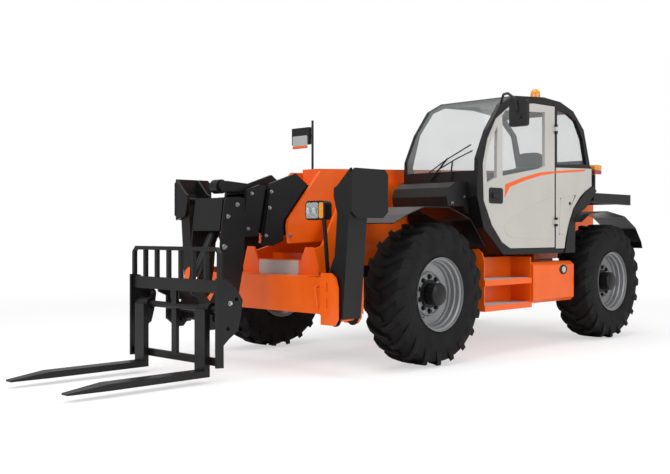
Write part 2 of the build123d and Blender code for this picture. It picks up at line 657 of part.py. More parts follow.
# Fork carriage: a barred frame with a hanging shaft, hung from the boom head by two ears
carriage_half = 590
carriage_front_x = 3505
carriage_side_thickness = 20
carriage_side_corner = (3270, 126)
carriage_side_size = (260, 690)
carriage_side_shares = [
    (0.731, 0), (1, 0.006), (1, 1), (0.65, 0.99), (0.25, 0.88), (0, 0.749), (0.077, 0.551),
    (0.192, 0.397), (0.5, 0.325), (0.735, 0.252),
]
carriage_top_z = 1055
bar_size = 32
carriage_bar_x = (3473, 3505)
backrest_corner = 46
side_bosses = ((3334, 650), (3418, 425))
boss_radius = 34
boss_bore = 16
boss_length = 60
post_share_count = 7
crossbar_x = (3481, 3505)
crossbar_z = (700, 800)
lower_bar_x = (3470, 3500)
lower_bar_z = (140, 200)
shaft_radius = 26
shaft_x = 3478
shaft_z = 575
ear_inner_y = 208
ear_thickness = 24
ear_shares = [
    (0, -0.05), (0.15, -0.2), (0.4, -0.2), (0.72, 0.05), (0.72, 0.68), (1, 0.8), (1, 1), (0.75, 1),
    (0.25, 0.45), (0, 0.3),
]
ear_corner = (3205, 440)
ear_size = (290, 300)
tilt_ear_inner_y = 42
tilt_ear_thickness = 18
tilt_ear_shares = [(0, 0.3), (0.25, 0), (1, 0.1), (1, 1), (0.3, 0.85), (0, 0.7)]
tilt_ear_corner = (3295, 615)
tilt_ear_size = (195, 150)

with BuildPart() as carriage:
    side_outline = at_shares(carriage_side_shares, carriage_side_corner, carriage_side_size)
    for _, side in sides:
        side_inner_y = carriage_half - carriage_side_thickness
        side_slab(side_outline, *sorted((side * side_inner_y, side * carriage_half)))
    block(crossbar_x, (-carriage_half, carriage_half), crossbar_z)
    block(lower_bar_x, (-carriage_half, carriage_half), lower_bar_z)
    corner_y = carriage_half - backrest_corner
    block(carriage_bar_x, (-corner_y, corner_y), (carriage_top_z - bar_size, carriage_top_z))
    for _, side in sides:
        front_slab([(side * y, z) for y, z in (
            (carriage_half, crossbar_z[0]), (carriage_half, carriage_top_z - backrest_corner),
            (corner_y, carriage_top_z), (corner_y, carriage_top_z - bar_size),
            (carriage_half - bar_size, carriage_top_z - backrest_corner),
            (carriage_half - bar_size, crossbar_z[0]),
        )], *carriage_bar_x)
    post_pitch = (2 * carriage_half - bar_size) / post_share_count
    for step in range(1, post_share_count):
        post_y = -carriage_half + step * post_pitch
        block(carriage_bar_x, (post_y, post_y + bar_size), (crossbar_z[0], carriage_top_z - bar_size / 2))
    for _, side in sides:
        for boss_x, boss_z in side_bosses:
            bar((boss_x, side * (carriage_half - boss_length), boss_z),
                (boss_x, side * carriage_half, boss_z), boss_radius)
            bar((boss_x, side * (carriage_half - boss_length - cut_overrun), boss_z),
                (boss_x, side * (carriage_half + cut_overrun), boss_z), boss_bore, Mode.SUBTRACT)
    bar((shaft_x, -carriage_half, shaft_z), (shaft_x, carriage_half, shaft_z), shaft_radius)
    block(lower_bar_x, (-bar_size, bar_size), (lower_bar_z[0], crossbar_z[1]))
    ear = at_shares(ear_shares, ear_corner, ear_size)
    tilt_ear = at_shares(tilt_ear_shares, tilt_ear_corner, tilt_ear_size)
    for _, side in sides:
        side_slab(ear, *sorted((side * ear_inner_y, side * (ear_inner_y + ear_thickness))))
        tilt_ear_outer_y = tilt_ear_inner_y + tilt_ear_thickness
        side_slab(tilt_ear, *sorted((side * tilt_ear_inner_y, side * tilt_ear_outer_y)))
    bar((tilt_pivot[0], -tilt_pin_reach - cut_overrun, tilt_pivot[2]),
        (tilt_pivot[0], tilt_pin_reach + cut_overrun, tilt_pivot[2]),
        tilt_pin_radius + bore_gap, Mode.SUBTRACT)
save(carriage.part, "carriage")

# Forks: an upright shank hung on the carriage shaft and a tapered blade
fork_centre_y = 410
fork_width = 130
fork_thickness = 50
fork_low_z = 50
fork_blade_x = front_reach
fork_shank_x = carriage_front_x + fork_thickness
fork_hook_radius = 48
fork_tip_width = 70
fork_taper_length = 320
fork_tip_thickness = 14
shank_top_z = 575
for side_name, side in sides:
    with BuildPart() as fork:
        fork_outline = [
            (fork_shank_x - fork_thickness, fork_low_z), (fork_blade_x, fork_low_z),
            (fork_blade_x, fork_low_z + fork_tip_thickness),
            (fork_blade_x - fork_taper_length, fork_low_z + fork_thickness),
            (fork_shank_x, fork_low_z + fork_thickness), (fork_shank_x, shank_top_z),
            (fork_shank_x - fork_thickness, shank_top_z),
        ]
        side_slab(fork_outline, fork_centre_y - fork_width / 2, fork_centre_y + fork_width / 2)
        bar((shaft_x, fork_centre_y - fork_width / 2, shaft_z),
            (shaft_x, fork_centre_y + fork_width / 2, shaft_z), fork_hook_radius)
        for edge in (1, -1):
            plan_slab([(fork_blade_x - fork_taper_length, fork_centre_y + edge * fork_width / 2),
                       (fork_blade_x + cut_overrun, fork_centre_y + edge * fork_tip_width / 2),
                       (fork_blade_x + cut_overrun, fork_centre_y + edge * fork_width)],
                      0, fork_thickness * 2, Mode.SUBTRACT)
        bar((shaft_x, fork_centre_y - fork_width, shaft_z),
            (shaft_x, fork_centre_y + fork_width, shaft_z), shaft_radius + bore_gap, Mode.SUBTRACT)
    save(mirrored(fork.part, side), f"fork_{side_name}")

# Cab: side frames, roof, floor and walls, with glass, a hinged door and the seat
cab_corner = (-1220, 955)
cab_size = (2120, 1575)
cab_right_y = 240
cab_left_y = 1120
cab_side_thickness = 40
cab_skin = 30
glass_thickness = 6
cab_shares = [
    (0.274, 0), (0.797, 0), (0.95, 0.161), (1, 0.346), (0.994, 0.571), (0.925, 0.746), (0.824, 0.908),
    (0.717, 0.975), (0.462, 1), (0.311, 0.99), (0.189, 0.944), (0.085, 0.829), (0.021, 0.585), (0, 0.575),
    (0, 0.451), (0.076, 0.41), (0.188, 0.298), (0.242, 0.167),
]
door_shares = [
    (0.363, 0.038), (0.742, 0.038), (0.809, 0.077), (0.886, 0.178), (0.95, 0.326), (0.957, 0.541),
    (0.921, 0.693), (0.857, 0.818), (0.735, 0.917), (0.547, 0.949), (0.363, 0.952),
]
door_window_shares = [
    (0.805, 0.476), (0.484, 0.544), (0.45, 0.562), (0.45, 0.905), (0.78, 0.878), (0.807, 0.841),
]
door_front_window_shares = [(0.85, 0.465), (0.925, 0.43), (0.935, 0.54), (0.9, 0.67), (0.845, 0.777)]
quarter_shares = [(0.34, 0.575), (0.06, 0.597), (0.099, 0.765), (0.162, 0.88), (0.245, 0.925), (0.34, 0.94)]
right_window_shares = [
    (0.06, 0.597), (0.925, 0.43), (0.955, 0.54), (0.9, 0.75), (0.8, 0.9), (0.7, 0.95), (0.45, 0.965),
    (0.3, 0.95), (0.2, 0.91), (0.11, 0.82),
]
arch_trim_shares = [
    (0.274, 0), (0.242, 0.167), (0.188, 0.298), (0.076, 0.41), (0, 0.451), (-0.036, 0.42), (0.065, 0.31),
    (0.175, 0.232), (0.177, 0.17), (0.18, 0),
]
arch_trim_rise = 12
hatch_shares = [(0.29, 0.12), (0.325, 0.12), (0.312, 0.36), (0.165, 0.385), (0.255, 0.24)]
hatch_rise = 4
door_gap = 6
door_y = (1086, 1120)
hinge_offset = (-4, 17)
door_rear_x = cab_corner[0] + door_shares[0][0] * cab_size[0]
door_hinge = (door_rear_x + hinge_offset[0], cab_left_y + hinge_offset[1])
door_hinge_z = (1230, 2180)
door_hinge_height = 90
hinge_play = 1
door_leaf_length = 46
door_leaf_thickness = 8
windscreen_from_share = 0.5
roof_from_share = 0.93
rear_window_x_share = 0.2
rear_window_rise = 200
screen_edge_share = 0.726
pane_setback = 12

cab_outline = at_shares(cab_shares, cab_corner, cab_size)
door_outline = at_shares(door_shares, cab_corner, cab_size)
quarter_outline = at_shares(quarter_shares, cab_corner, cab_size)
right_window = at_shares(right_window_shares, cab_corner, cab_size)


def grown(points, amount):
    """Gives a closed outline face moved outward, or inward where the amount is negative."""
    with BuildSketch() as shape:
        with BuildLine():
            Polyline(*points, close=True)
        make_face()
        offset(amount=amount, kind=Kind.INTERSECTION)
    return shape.sketch


def side_face(face, y_low, y_high, mode=Mode.ADD):
    """Extrudes a finished side-view face between two Y values."""
    extrude(Plane.XZ.offset(-y_high) * face, amount=y_high - y_low, mode=mode)


with BuildPart() as cab_ring:
    side_slab(cab_outline, cab_right_y + cab_side_thickness, cab_left_y - cab_side_thickness)
    side_face(grown(cab_outline, -cab_skin), cab_right_y, cab_left_y, Mode.SUBTRACT)

windscreen_low_z = cab_corner[1] + windscreen_from_share * cab_size[1]
roof_low_z = cab_corner[1] + roof_from_share * cab_size[1]
rear_window_x = cab_corner[0] + rear_window_x_share * cab_size[0]
rear_window_low_z = windscreen_low_z + rear_window_rise
cab_front_x = cab_corner[0] + cab_size[0]
cab_high_z = cab_corner[1] + cab_size[1]
screen_edge_x = cab_corner[0] + screen_edge_share * cab_size[0]

with BuildPart() as cab_frame:
    side_slab(cab_outline, cab_left_y - cab_side_thickness, cab_left_y)
    side_face(grown(door_outline, door_gap), cab_right_y, cab_left_y, Mode.SUBTRACT)
    side_slab(quarter_outline, cab_right_y, cab_left_y, Mode.SUBTRACT)
    side_slab(cab_outline, cab_right_y, cab_right_y + cab_side_thickness)
    side_slab(right_window, cab_right_y, cab_right_y + cab_side_thickness, Mode.SUBTRACT)
    for z_low in door_hinge_z:
        z_high = z_low + door_hinge_height
        block((door_hinge[0] - door_leaf_length, door_hinge[0] - hinge_ring_radius),
              (cab_left_y, cab_left_y + door_leaf_thickness), (z_low, z_high))
        for z in (z_low, z_high - hinge_knuckle):
            block((door_hinge[0] - hinge_ring_radius, door_hinge[0] - hinge_pin_radius),
                  (cab_left_y, cab_left_y + door_leaf_thickness), (z, z + hinge_knuckle))
            bar((*door_hinge, z), (*door_hinge, z + hinge_knuckle), 2 * hinge_pin_radius)
        bar((*door_hinge, z_low), (*door_hinge, z_high), hinge_pin_radius)
    add(cab_ring.part)
    side_slab(at_shares(arch_trim_shares, cab_corner, cab_size), cab_left_y - cab_side_thickness,
              cab_left_y + arch_trim_rise)
    side_slab(at_shares(hatch_shares, cab_corner, cab_size), cab_left_y, cab_left_y + hatch_rise)
    inner_y = (cab_right_y + cab_side_thickness, cab_left_y - cab_side_thickness)
    block((screen_edge_x, cab_front_x + cut_overrun), inner_y,
          (windscreen_low_z, cab_high_z + cut_overrun), Mode.SUBTRACT)
    block((cab_corner[0] - cut_overrun, rear_window_x), inner_y,
          (rear_window_low_z, roof_low_z), Mode.SUBTRACT)
save(cab_frame.part, "cab_frame")

# Cab glass: the windscreen, then the rear, quarter and right windows as thin panes
with BuildPart() as glass_ring:
    side_slab(cab_outline, cab_right_y + cab_side_thickness, cab_left_y - cab_side_thickness)
    side_face(grown(cab_outline, -glass_thickness), cab_right_y, cab_left_y, Mode.SUBTRACT)
pane_y = (cab_right_y + cab_side_thickness, cab_left_y - cab_side_thickness)
with BuildPart() as windscreen:
    add(glass_ring.part)
    block((screen_edge_x, cab_front_x + cut_overrun), pane_y, (windscreen_low_z, cab_high_z + cut_overrun),
          Mode.INTERSECT)
save(windscreen.part, "windscreen")
with BuildPart() as cab_windows:
    add(glass_ring.part)
    block((cab_corner[0] - cut_overrun, rear_window_x), pane_y,
          (rear_window_low_z, roof_low_z), Mode.INTERSECT)
    quarter_pane_y = cab_left_y - cab_side_thickness
    side_slab(quarter_outline, quarter_pane_y, quarter_pane_y + glass_thickness)
    side_slab(right_window, cab_right_y + glass_thickness, cab_right_y + 2 * glass_thickness)
save(cab_windows.part, "cab_windows")

# Door: a leaf hinged at its rear edge, with two panes
with BuildPart() as door:
    side_slab(door_outline, *door_y)
    for shares in (door_window_shares, door_front_window_shares):
        side_slab(at_shares(shares, cab_corner, cab_size), door_y[0], door_y[1], Mode.SUBTRACT)
    for z_low in door_hinge_z:
        knuckle_z = (z_low + hinge_knuckle + hinge_play,
                     z_low + door_hinge_height - hinge_knuckle - hinge_play)
        bar((*door_hinge, knuckle_z[0]), (*door_hinge, knuckle_z[1]), 2 * hinge_pin_radius)
        block((door_hinge[0] + hinge_pin_radius, door_hinge[0] + door_leaf_length),
              (door_y[1], door_y[1] + door_leaf_thickness), knuckle_z)
        bar((*door_hinge, z_low), (*door_hinge, z_low + door_hinge_height), hinge_pin_radius + bore_gap,
            Mode.SUBTRACT)
save(door.part, "door")
with BuildPart() as door_glass:
    for shares in (door_window_shares, door_front_window_shares):
        pane = at_shares(shares, cab_corner, cab_size)
        side_slab(pane, door_y[0] + pane_setback, door_y[0] + pane_setback + glass_thickness)
save(door_glass.part, "door_glass")

# Cab inside: seat and console with the steering wheel
seat_x = (-620, -130)
seat_y = (470, 950)
seat_z = (1230, 1400)
seat_back_x = (-720, -600)
seat_back_z = (1330, 2020)
seat_base_x = (-560, -180)
seat_base_y = (560, 860)
cab_floor_z = cab_corner[1] + cab_skin
console_shares = [(0, 0), (0.45, 0), (1, 0.75), (0.9, 1), (0.55, 1), (0.2, 0.5)]
console_rear_x = 290
console_corner = (console_rear_x, cab_floor_z)
console_size = (280, 430)
console_y = (600, 800)
steering_radius = 190
steering_rim = 16
steering_centre = (300, 700, 1640)
steering_tilt = 35
column_length = 330
with BuildPart() as seat:
    block(seat_base_x, seat_base_y, (cab_floor_z, seat_z[0]))
    block(seat_x, seat_y, seat_z)
    block(seat_back_x, seat_y, seat_back_z)
save(seat.part, "seat")
steering_plane = Plane(origin=steering_centre, x_dir=(0, 1, 0),
                       z_dir=(-sin(radians(steering_tilt)), 0, cos(radians(steering_tilt))))
with BuildPart() as console:
    side_slab(at_shares(console_shares, console_corner, console_size), *console_y)
    column_top = Vector(*steering_centre) - steering_plane.z_dir
    bar(column_top - steering_plane.z_dir * column_length, column_top, steering_rim * 2)
save(console.part, "console")
with BuildPart() as steering_wheel:
    with BuildSketch(steering_plane):
        Circle(steering_radius)
        Circle(steering_radius - 2 * steering_rim, mode=Mode.SUBTRACT)
        Rectangle(2 * steering_radius - 2 * steering_rim, 2 * steering_rim)
    extrude(amount=2 * steering_rim)
save(steering_wheel.part, "steering_wheel")

# Cowl: the black cover in front of the windscreen
cowl_overlap = 40
cowl_low_share = 0.165
cowl_corner = (cab_front_x - cowl_overlap, cab_corner[1] + cowl_low_share * cab_size[1])
cowl_size = (340, 425)
cowl_shares = [
    (0, 0.68), (0, 0.3), (0.1, 0.3), (0.25, 0.46), (0.95, 0.46), (1, 0.66), (0.9, 0.86), (0.6, 0.98),
    (0, 1),
]
cowl_y = (350, 1000)
with BuildPart() as cowl:
    side_slab(at_shares(cowl_shares, cowl_corner, cowl_size), *cowl_y)
    side_slab(cab_outline, cab_right_y, cab_left_y, Mode.SUBTRACT)
save(cowl.part, "cowl")

# Mudguards: bent plates over the wheels with a lip, carried by a bracket from the frame
guard_inner_y = 805
guard_outer_y = 1200
guard_thickness = 8
guard_bend = 90
front_guard_shares = [(1, 0.59), (0.86, 0.8), (0.69, 0.99), (0.42, 1), (0.18, 0.72), (0, 0)]
front_guard_corner = (885, 1030)
front_guard_size = (1290, 355)
rear_guard_shares = [
    (1, 0.717), (0.872, 0.941), (0.606, 1), (0.313, 0.872), (0.123, 0.56), (0.02, 0.165), (0, 0),
]
rear_guard_front_x = -860
rear_guard_low_z = 985
rear_guard_size = (1370, 407)
rear_guard_corner = (rear_guard_front_x - rear_guard_size[0], rear_guard_low_z)
guard_top_z = 1386
guard_bracket_x = {"front": 1535, "rear": -1330}
guard_bracket_half = 60
guard_bracket_depth = 30
for end_name, end_sign in ends:
    if end_sign > 0:
        guard = at_shares(front_guard_shares, front_guard_corner, front_guard_size)
    else:
        guard = at_shares(rear_guard_shares, rear_guard_corner, rear_guard_size)
    upper = [(x, z + guard_thickness) for x, z in guard]
    bends = [0] + [guard_bend] * (len(guard) - 2) + [0]
    for side_name, side in sides:
        with BuildPart() as mudguard:
            with BuildSketch(Plane.XZ.offset(-guard_outer_y)) as guard_profile:
                with BuildLine():
                    FilletPolyline(*guard, *upper[::-1], radius=bends + bends, close=True)
                make_face()
            extrude(guard_profile.sketch, amount=guard_outer_y - guard_inner_y)
            bracket_x = guard_bracket_x[end_name]
            block((bracket_x - guard_bracket_half, bracket_x + guard_bracket_half),
                  (frame_plate_y, guard_inner_y + guard_bracket_half),
                  (guard_top_z - guard_bracket_depth, guard_top_z))
        save(mirrored(mudguard.part, side), f"mudguard_{end_name}_{side_name}")

# Steps: two treads between side plates under the door
step_x = (-40, 760)
step_y = (870, 1110)
step_plate = 10
step_heights = ((425, 480), (665, 720))
step_top_z = 925
step_gusset_z = 1012
step_gusset_shares = [(0, 0), (1, 0), (1, 0.8), (0.9, 0.94), (0.7, 1), (0.3, 1), (0, 0.85)]
with BuildPart() as steps:
    block(step_x, (step_y[0] - step_plate, step_y[0]), (step_heights[0][0], step_top_z))
    gusset_points = at_shares(step_gusset_shares, (step_y[0] - step_plate, step_heights[0][0]),
                              (step_y[1] - step_y[0], step_gusset_z - step_heights[0][0]))
    front_slab(gusset_points, step_x[1] - step_plate, step_x[1])
    block((step_x[0], step_x[0] + step_plate), (step_y[0] - step_plate, step_y[1] - step_plate),
          (step_heights[0][0], step_top_z))
    for z_range in step_heights:
        block(step_x, step_y, z_range)
    block(step_x, (frame_plate_y, step_y[0]), (step_heights[1][0], step_heights[1][0] + step_plate))
save(steps.part, "steps")

# Tank box behind the steps, with bevelled edges
tank_x = (-830, -50)
tank_inner_rear_x = -760
tank_y = (560, 1120)
tank_z = (460, 870)
tank_bevel = 35
tank_straight_y = 860
with BuildPart() as tank_box:
    plan_slab([(tank_inner_rear_x, tank_y[0]), (tank_x[1], tank_y[0]), (tank_x[1], tank_y[1]),
               (tank_x[0], tank_y[1]), (tank_inner_rear_x, tank_straight_y)], *tank_z)
    chamfer(tank_box.edges().filter_by(Axis.X).group_by(Axis.Y)[-1], tank_bevel)
    block((tank_inner_rear_x, tank_x[1]), (frame_plate_y, tank_y[0]), (tank_z[1] - tank_bevel, tank_z[1]))
save(tank_box.part, "tank_box")

# Engine: a plain block on two rails, under a side-hinged hood
engine_x = (-680, 350)
engine_y = (-960, -480)
engine_z = (740, 1340)
shelf_x = (-740, 740)
shelf_y = (-1100, -355)
shelf_z = (700, 720)
hood_x = (-1050, 880)
hood_y = (-1130, -420)
hood_z = (1000, 1560)
hood_skin = 6
hood_arch_shares = [(0.21, 0), (0.88, 0), (1, 0.3), (1, 0.9), (0.95, 1), (0.05, 1), (0, 0.95), (0, 0.82),
                    (0.1, 0.72), (0.16, 0.4)]
hood_bevel = 90
grille_x = (-520, 60)
grille_low_z = 1150
grille_rows = 7
grille_pitch = 34
grille_slot = 14
with BuildPart() as engine_block:
    block(engine_x, engine_y, engine_z)
save(engine_block.part, "engine_block")
with BuildPart() as engine_shelf:
    block(shelf_x, shelf_y, shelf_z)
    for x_low in (shelf_x[0], shelf_x[1] - step_plate):
        block((x_low, x_low + step_plate), shelf_y, (shelf_z[0], outrigger_z[0]))
    block((engine_x[0], engine_x[1]), (engine_y[0], engine_y[1]), (shelf_z[1], engine_z[0]))
save(engine_shelf.part, "engine_shelf")
hood_size = (hood_x[1] - hood_x[0], hood_z[1] - hood_z[0])
hood_outline = at_shares(hood_arch_shares, (hood_x[0], hood_z[0]), hood_size)
with BuildPart() as hood:
    side_slab(hood_outline, *hood_y)
    chamfer(hood.edges().filter_by(Axis.X).group_by(Axis.Z)[-1].sort_by(Axis.Y)[0], hood_bevel)
    side_face(grown(hood_outline, -hood_skin), hood_y[0] + hood_bevel + hood_skin, hood_y[1] + cut_overrun,
              Mode.SUBTRACT)
    block((hood_x[0] - cut_overrun, hood_x[1] + cut_overrun),
          (hood_y[0] + hood_skin, hood_y[1] + cut_overrun),
          (hood_z[0] - cut_overrun, hood_z[1] - hood_bevel - hood_skin), Mode.SUBTRACT)
    for x_range in outriggers[-1]:
        for start in (x_range[0] - hinge_knuckle, x_range[1] + moving_gap / 2):
            knuckle_end = start + hinge_knuckle - moving_gap / 2
            bar((start, *hood_hinge), (knuckle_end, *hood_hinge), hinge_ring_radius)
            bar((start - cut_overrun, *hood_hinge), (knuckle_end + cut_overrun, *hood_hinge),
                hinge_pin_radius + bore_gap, Mode.SUBTRACT)
    for row in range(grille_rows):
        slot_z = grille_low_z + row * grille_pitch
        block(grille_x, (hood_y[0] - cut_overrun, hood_y[0] + hood_skin + cut_overrun),
              (slot_z, slot_z + grille_slot), Mode.SUBTRACT)
save(hood.part, "hood")

# Lamps: two head lamps on posts, two tail lamps on the rear arm
lamp_x = (2500, 2600)
lamp_y = (600, 830)
lamp_z = (1270, 1430)
lamp_corner = 40
lamp_post_foot = (2340, 610, 808)
lamp_post_top = (2520, 740, 1290)
lamp_post_radius = 18
with BuildPart() as headlamp_left:
    block(lamp_x, lamp_y, lamp_z)
    fillet(headlamp_left.edges().filter_by(Axis.X), lamp_corner)
    chamfer(headlamp_left.faces().sort_by(Axis.X)[0].edges(), lamp_corner / 2)
    bar(lamp_post_foot, lamp_post_top, lamp_post_radius)
for side_name, side in sides:
    save(mirrored(headlamp_left.part, side), f"headlamp_{side_name}")

rear_arm_shares = [(1, 0), (0.8, 0.48), (0, 0.42), (0, 1), (0.85, 1), (1, 0.35)]
rear_arm_corner = (-2420, 1400)
rear_arm_size = (1160, 210)
rear_arm_y = (920, 960)
rear_arm_foot_x = (-2420, -2330)
rear_arm_foot_z = (1500, 1590)
tail_post_z = 1520
tail_post_depth = 30
tail_lamp_x = (-1580, -1430)
tail_lamp_y = (940, 1040)
tail_lamp_z = (1810, 1920)
tail_post_x = (-1530, -1490)
with BuildPart() as rear_arm:
    side_slab(at_shares(rear_arm_shares, rear_arm_corner, rear_arm_size), *rear_arm_y)
    block(rear_arm_foot_x, (frame_plate_y + tower_disc_thickness, rear_arm_y[1]), rear_arm_foot_z)
    block(tail_post_x, (rear_arm_y[1], rear_arm_y[1] + tail_post_depth), (tail_post_z, tail_lamp_z[0]))
save(rear_arm.part, "rear_arm")
with BuildPart() as tail_lamp:
    block(tail_lamp_x, tail_lamp_y, tail_lamp_z)
save(tail_lamp.part, "tail_lamp")

# Mirrors and beacon
left_mirror_set = (-215, -395)
left_mirror_size = (40, 190, 240)
mirror_corner = 24
left_mirror_x = (cab_front_x + left_mirror_set[0], cab_front_x + left_mirror_set[0] + left_mirror_size[0])
left_mirror_y = (mirror_reach - left_mirror_size[1], mirror_reach)
left_mirror_z = (cab_high_z + left_mirror_set[1], cab_high_z + left_mirror_set[1] + left_mirror_size[2])
mirror_arm_radius = 12
mirror_arm_steps = [(-420, -30, -150), (-340, 60, -60), (-200, 200, -80), (-165, 300, -140),
                    (-165, 325, -240), (-185, 325, -270)]
mirror_arm_points = [(cab_front_x + x, cab_left_y + y, cab_high_z + z) for x, y, z in mirror_arm_steps]
with BuildPart() as mirror_left:
    block(left_mirror_x, left_mirror_y, left_mirror_z)
    fillet(mirror_left.edges().filter_by(Axis.X), mirror_corner)
    for start, end in zip(mirror_arm_points, mirror_arm_points[1:]):
        bar(start, end, mirror_arm_radius)
        with Locations(end):
            Sphere(mirror_arm_radius)
    side_slab(cab_outline, cab_right_y, cab_left_y, Mode.SUBTRACT)
save(mirror_left.part, "mirror_left")
right_stem_x = 1150
right_stem_y = -788
right_arm_radius = 10
right_mirror_depth = 36
right_stem_z = (1270, 2340)
right_clamp_half = 20
right_clamp_height = 50
right_mirror_y = (-1060, -800)
right_mirror_z = (2090, 2270)
with BuildPart() as mirror_right:
    bar((right_stem_x, right_stem_y, right_stem_z[0]), (right_stem_x, right_stem_y, right_stem_z[1]),
        mirror_arm_radius)
    mirror_low_x = right_stem_x + mirror_arm_radius / 2
    block((mirror_low_x, mirror_low_x + right_mirror_depth), right_mirror_y, right_mirror_z)
    arm_z = (right_mirror_z[0] + right_mirror_z[1]) / 2
    arm_y = (right_mirror_y[0] + right_mirror_y[1]) / 2
    bar((right_stem_x, right_stem_y, arm_z), (right_stem_x, arm_y, arm_z), right_arm_radius)
    block((right_stem_x - right_clamp_half, right_stem_x + right_clamp_half),
          (-guard_inner_y, right_stem_y), (right_stem_z[0], right_stem_z[0] + right_clamp_height))
save(mirror_right.part, "mirror_right")
beacon_x_share = 0.2925
beacon_y = 800
beacon_centre = (cab_corner[0] + beacon_x_share * cab_size[0], beacon_y)
beacon_radius = 65
beacon_sink = 14
beacon_height = 174
beacon_z = (cab_high_z - beacon_sink, cab_high_z - beacon_sink + beacon_height)
beacon_stem_radius = 18
with BuildPart() as beacon:
    bar((*beacon_centre, beacon_z[0] - beacon_radius), (*beacon_centre, beacon_z[0] + beacon_radius),
        beacon_stem_radius)
    side_slab(cab_outline, cab_right_y, cab_left_y, Mode.SUBTRACT)
    bar((*beacon_centre, beacon_z[0] + beacon_radius), (*beacon_centre, beacon_z[1]), beacon_radius)
save(beacon.part, "beacon")
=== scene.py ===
import bpy
import bmesh
import json
import math
from mathutils import Matrix, Vector


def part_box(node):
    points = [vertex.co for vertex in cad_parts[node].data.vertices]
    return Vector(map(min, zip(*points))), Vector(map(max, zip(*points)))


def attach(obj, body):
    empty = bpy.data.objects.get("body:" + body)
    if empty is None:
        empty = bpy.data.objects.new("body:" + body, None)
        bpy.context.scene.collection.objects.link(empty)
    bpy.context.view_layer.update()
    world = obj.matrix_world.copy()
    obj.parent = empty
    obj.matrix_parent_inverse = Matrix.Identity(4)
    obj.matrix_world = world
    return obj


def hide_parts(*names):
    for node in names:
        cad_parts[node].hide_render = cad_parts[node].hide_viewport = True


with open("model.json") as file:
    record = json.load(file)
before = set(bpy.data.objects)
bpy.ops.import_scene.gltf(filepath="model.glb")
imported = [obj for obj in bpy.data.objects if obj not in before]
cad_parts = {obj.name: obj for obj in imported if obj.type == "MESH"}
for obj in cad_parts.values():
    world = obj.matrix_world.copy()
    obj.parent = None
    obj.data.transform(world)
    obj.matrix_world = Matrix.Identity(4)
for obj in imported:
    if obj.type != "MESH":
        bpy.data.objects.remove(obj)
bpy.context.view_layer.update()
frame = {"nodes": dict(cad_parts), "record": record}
nodes = frame["nodes"]
print("frame loaded", len(nodes), "nodes")

# Places are measured on the ground from the middle of the wheelbase; the row's origin lies elsewhere
middle = Vector((-1.0325, -0.165, 0))
forward, leftward, upward = Vector((1, 0, 0)), Vector((0, 1, 0)), Vector((0, 0, 1))
outside = 5.0  # farther out than any side of the machine
mmPerMetre = 1000


def srgb(text):
    channels = [int(text[i:i + 2], 16) / 255 for i in (1, 3, 5)]
    return [c / 12.92 if c <= 0.04045 else ((c + 0.055) / 1.055) ** 2.4 for c in channels] + [1]


def at(x, y, z):
    return Vector((x, y, z)) + middle


# camera: level, at chest height, off the front left corner
cameraSet = {
    "place": (7.980, 6.156, 1.172), "heading": 225.06,  # the heading turns left from straight ahead
    "lens": 49.95, "sensor": 36, "shiftX": 0.0235, "shiftY": -0.0075,
}
cameraData = bpy.data.cameras.new("camera")
cameraData.lens = cameraSet["lens"]
cameraData.sensor_width = cameraSet["sensor"]
cameraData.shift_x = cameraSet["shiftX"]
cameraData.shift_y = cameraSet["shiftY"]
camera = bpy.data.objects.new("camera", cameraData)
camera.location = at(*cameraSet["place"])
camera.rotation_euler = (math.radians(90), 0, math.radians(cameraSet["heading"] - 90))
bpy.context.scene.collection.objects.link(camera)
bpy.context.scene.camera = camera
bpy.context.scene.view_settings.view_transform = "Standard"


def addNode(tree, kind, settings=None, links=None):
    # settings are properties or input values, links are input name to output socket
    node = tree.nodes.new(kind)
    for key, value in (settings or {}).items():
        if hasattr(node, key) and key not in node.inputs:
            setattr(node, key, value)
        else:
            node.inputs[key].default_value = value
    for key, socket in (links or {}).items():
        tree.links.new(socket, node.inputs[key])
    return node


def newMaterial(name):
    material = bpy.data.materials.new(name)
    material.use_nodes = True
    tree = material.node_tree
    tree.nodes.clear()
    return material, tree


# stage: white paper that shades less and less with distance, under a white sky and soft lamps
stageSet = {
    "size": 60.0, "near": 4.5, "far": 10.0, "floor": "#FDFDFD", "white": "#FFFFFF",
    "world": 0.62, "lift": 0.55,  # lift is how much of the paper glows by itself close to the machine
}
studio = bpy.data.worlds.new("studio")
bpy.context.scene.world = studio
studio.use_nodes = True
tree = studio.node_tree
tree.nodes.clear()
path = addNode(tree, "ShaderNodeLightPath")
seen = addNode(tree, "ShaderNodeMath", {"operation": "MAXIMUM"},
               {0: path.outputs["Is Camera Ray"], 1: path.outputs["Is Transmission Ray"]})
soft = addNode(tree, "ShaderNodeBackground",
               {"Color": srgb(stageSet["white"]), "Strength": stageSet["world"]})
white = addNode(tree, "ShaderNodeBackground", {"Color": srgb(stageSet["white"]), "Strength": 1.0})
mixed = addNode(tree, "ShaderNodeMixShader", {},
                {0: seen.outputs[0], 1: soft.outputs[0], 2: white.outputs[0]})
addNode(tree, "ShaderNodeOutputWorld", {}, {"Surface": mixed.outputs[0]})

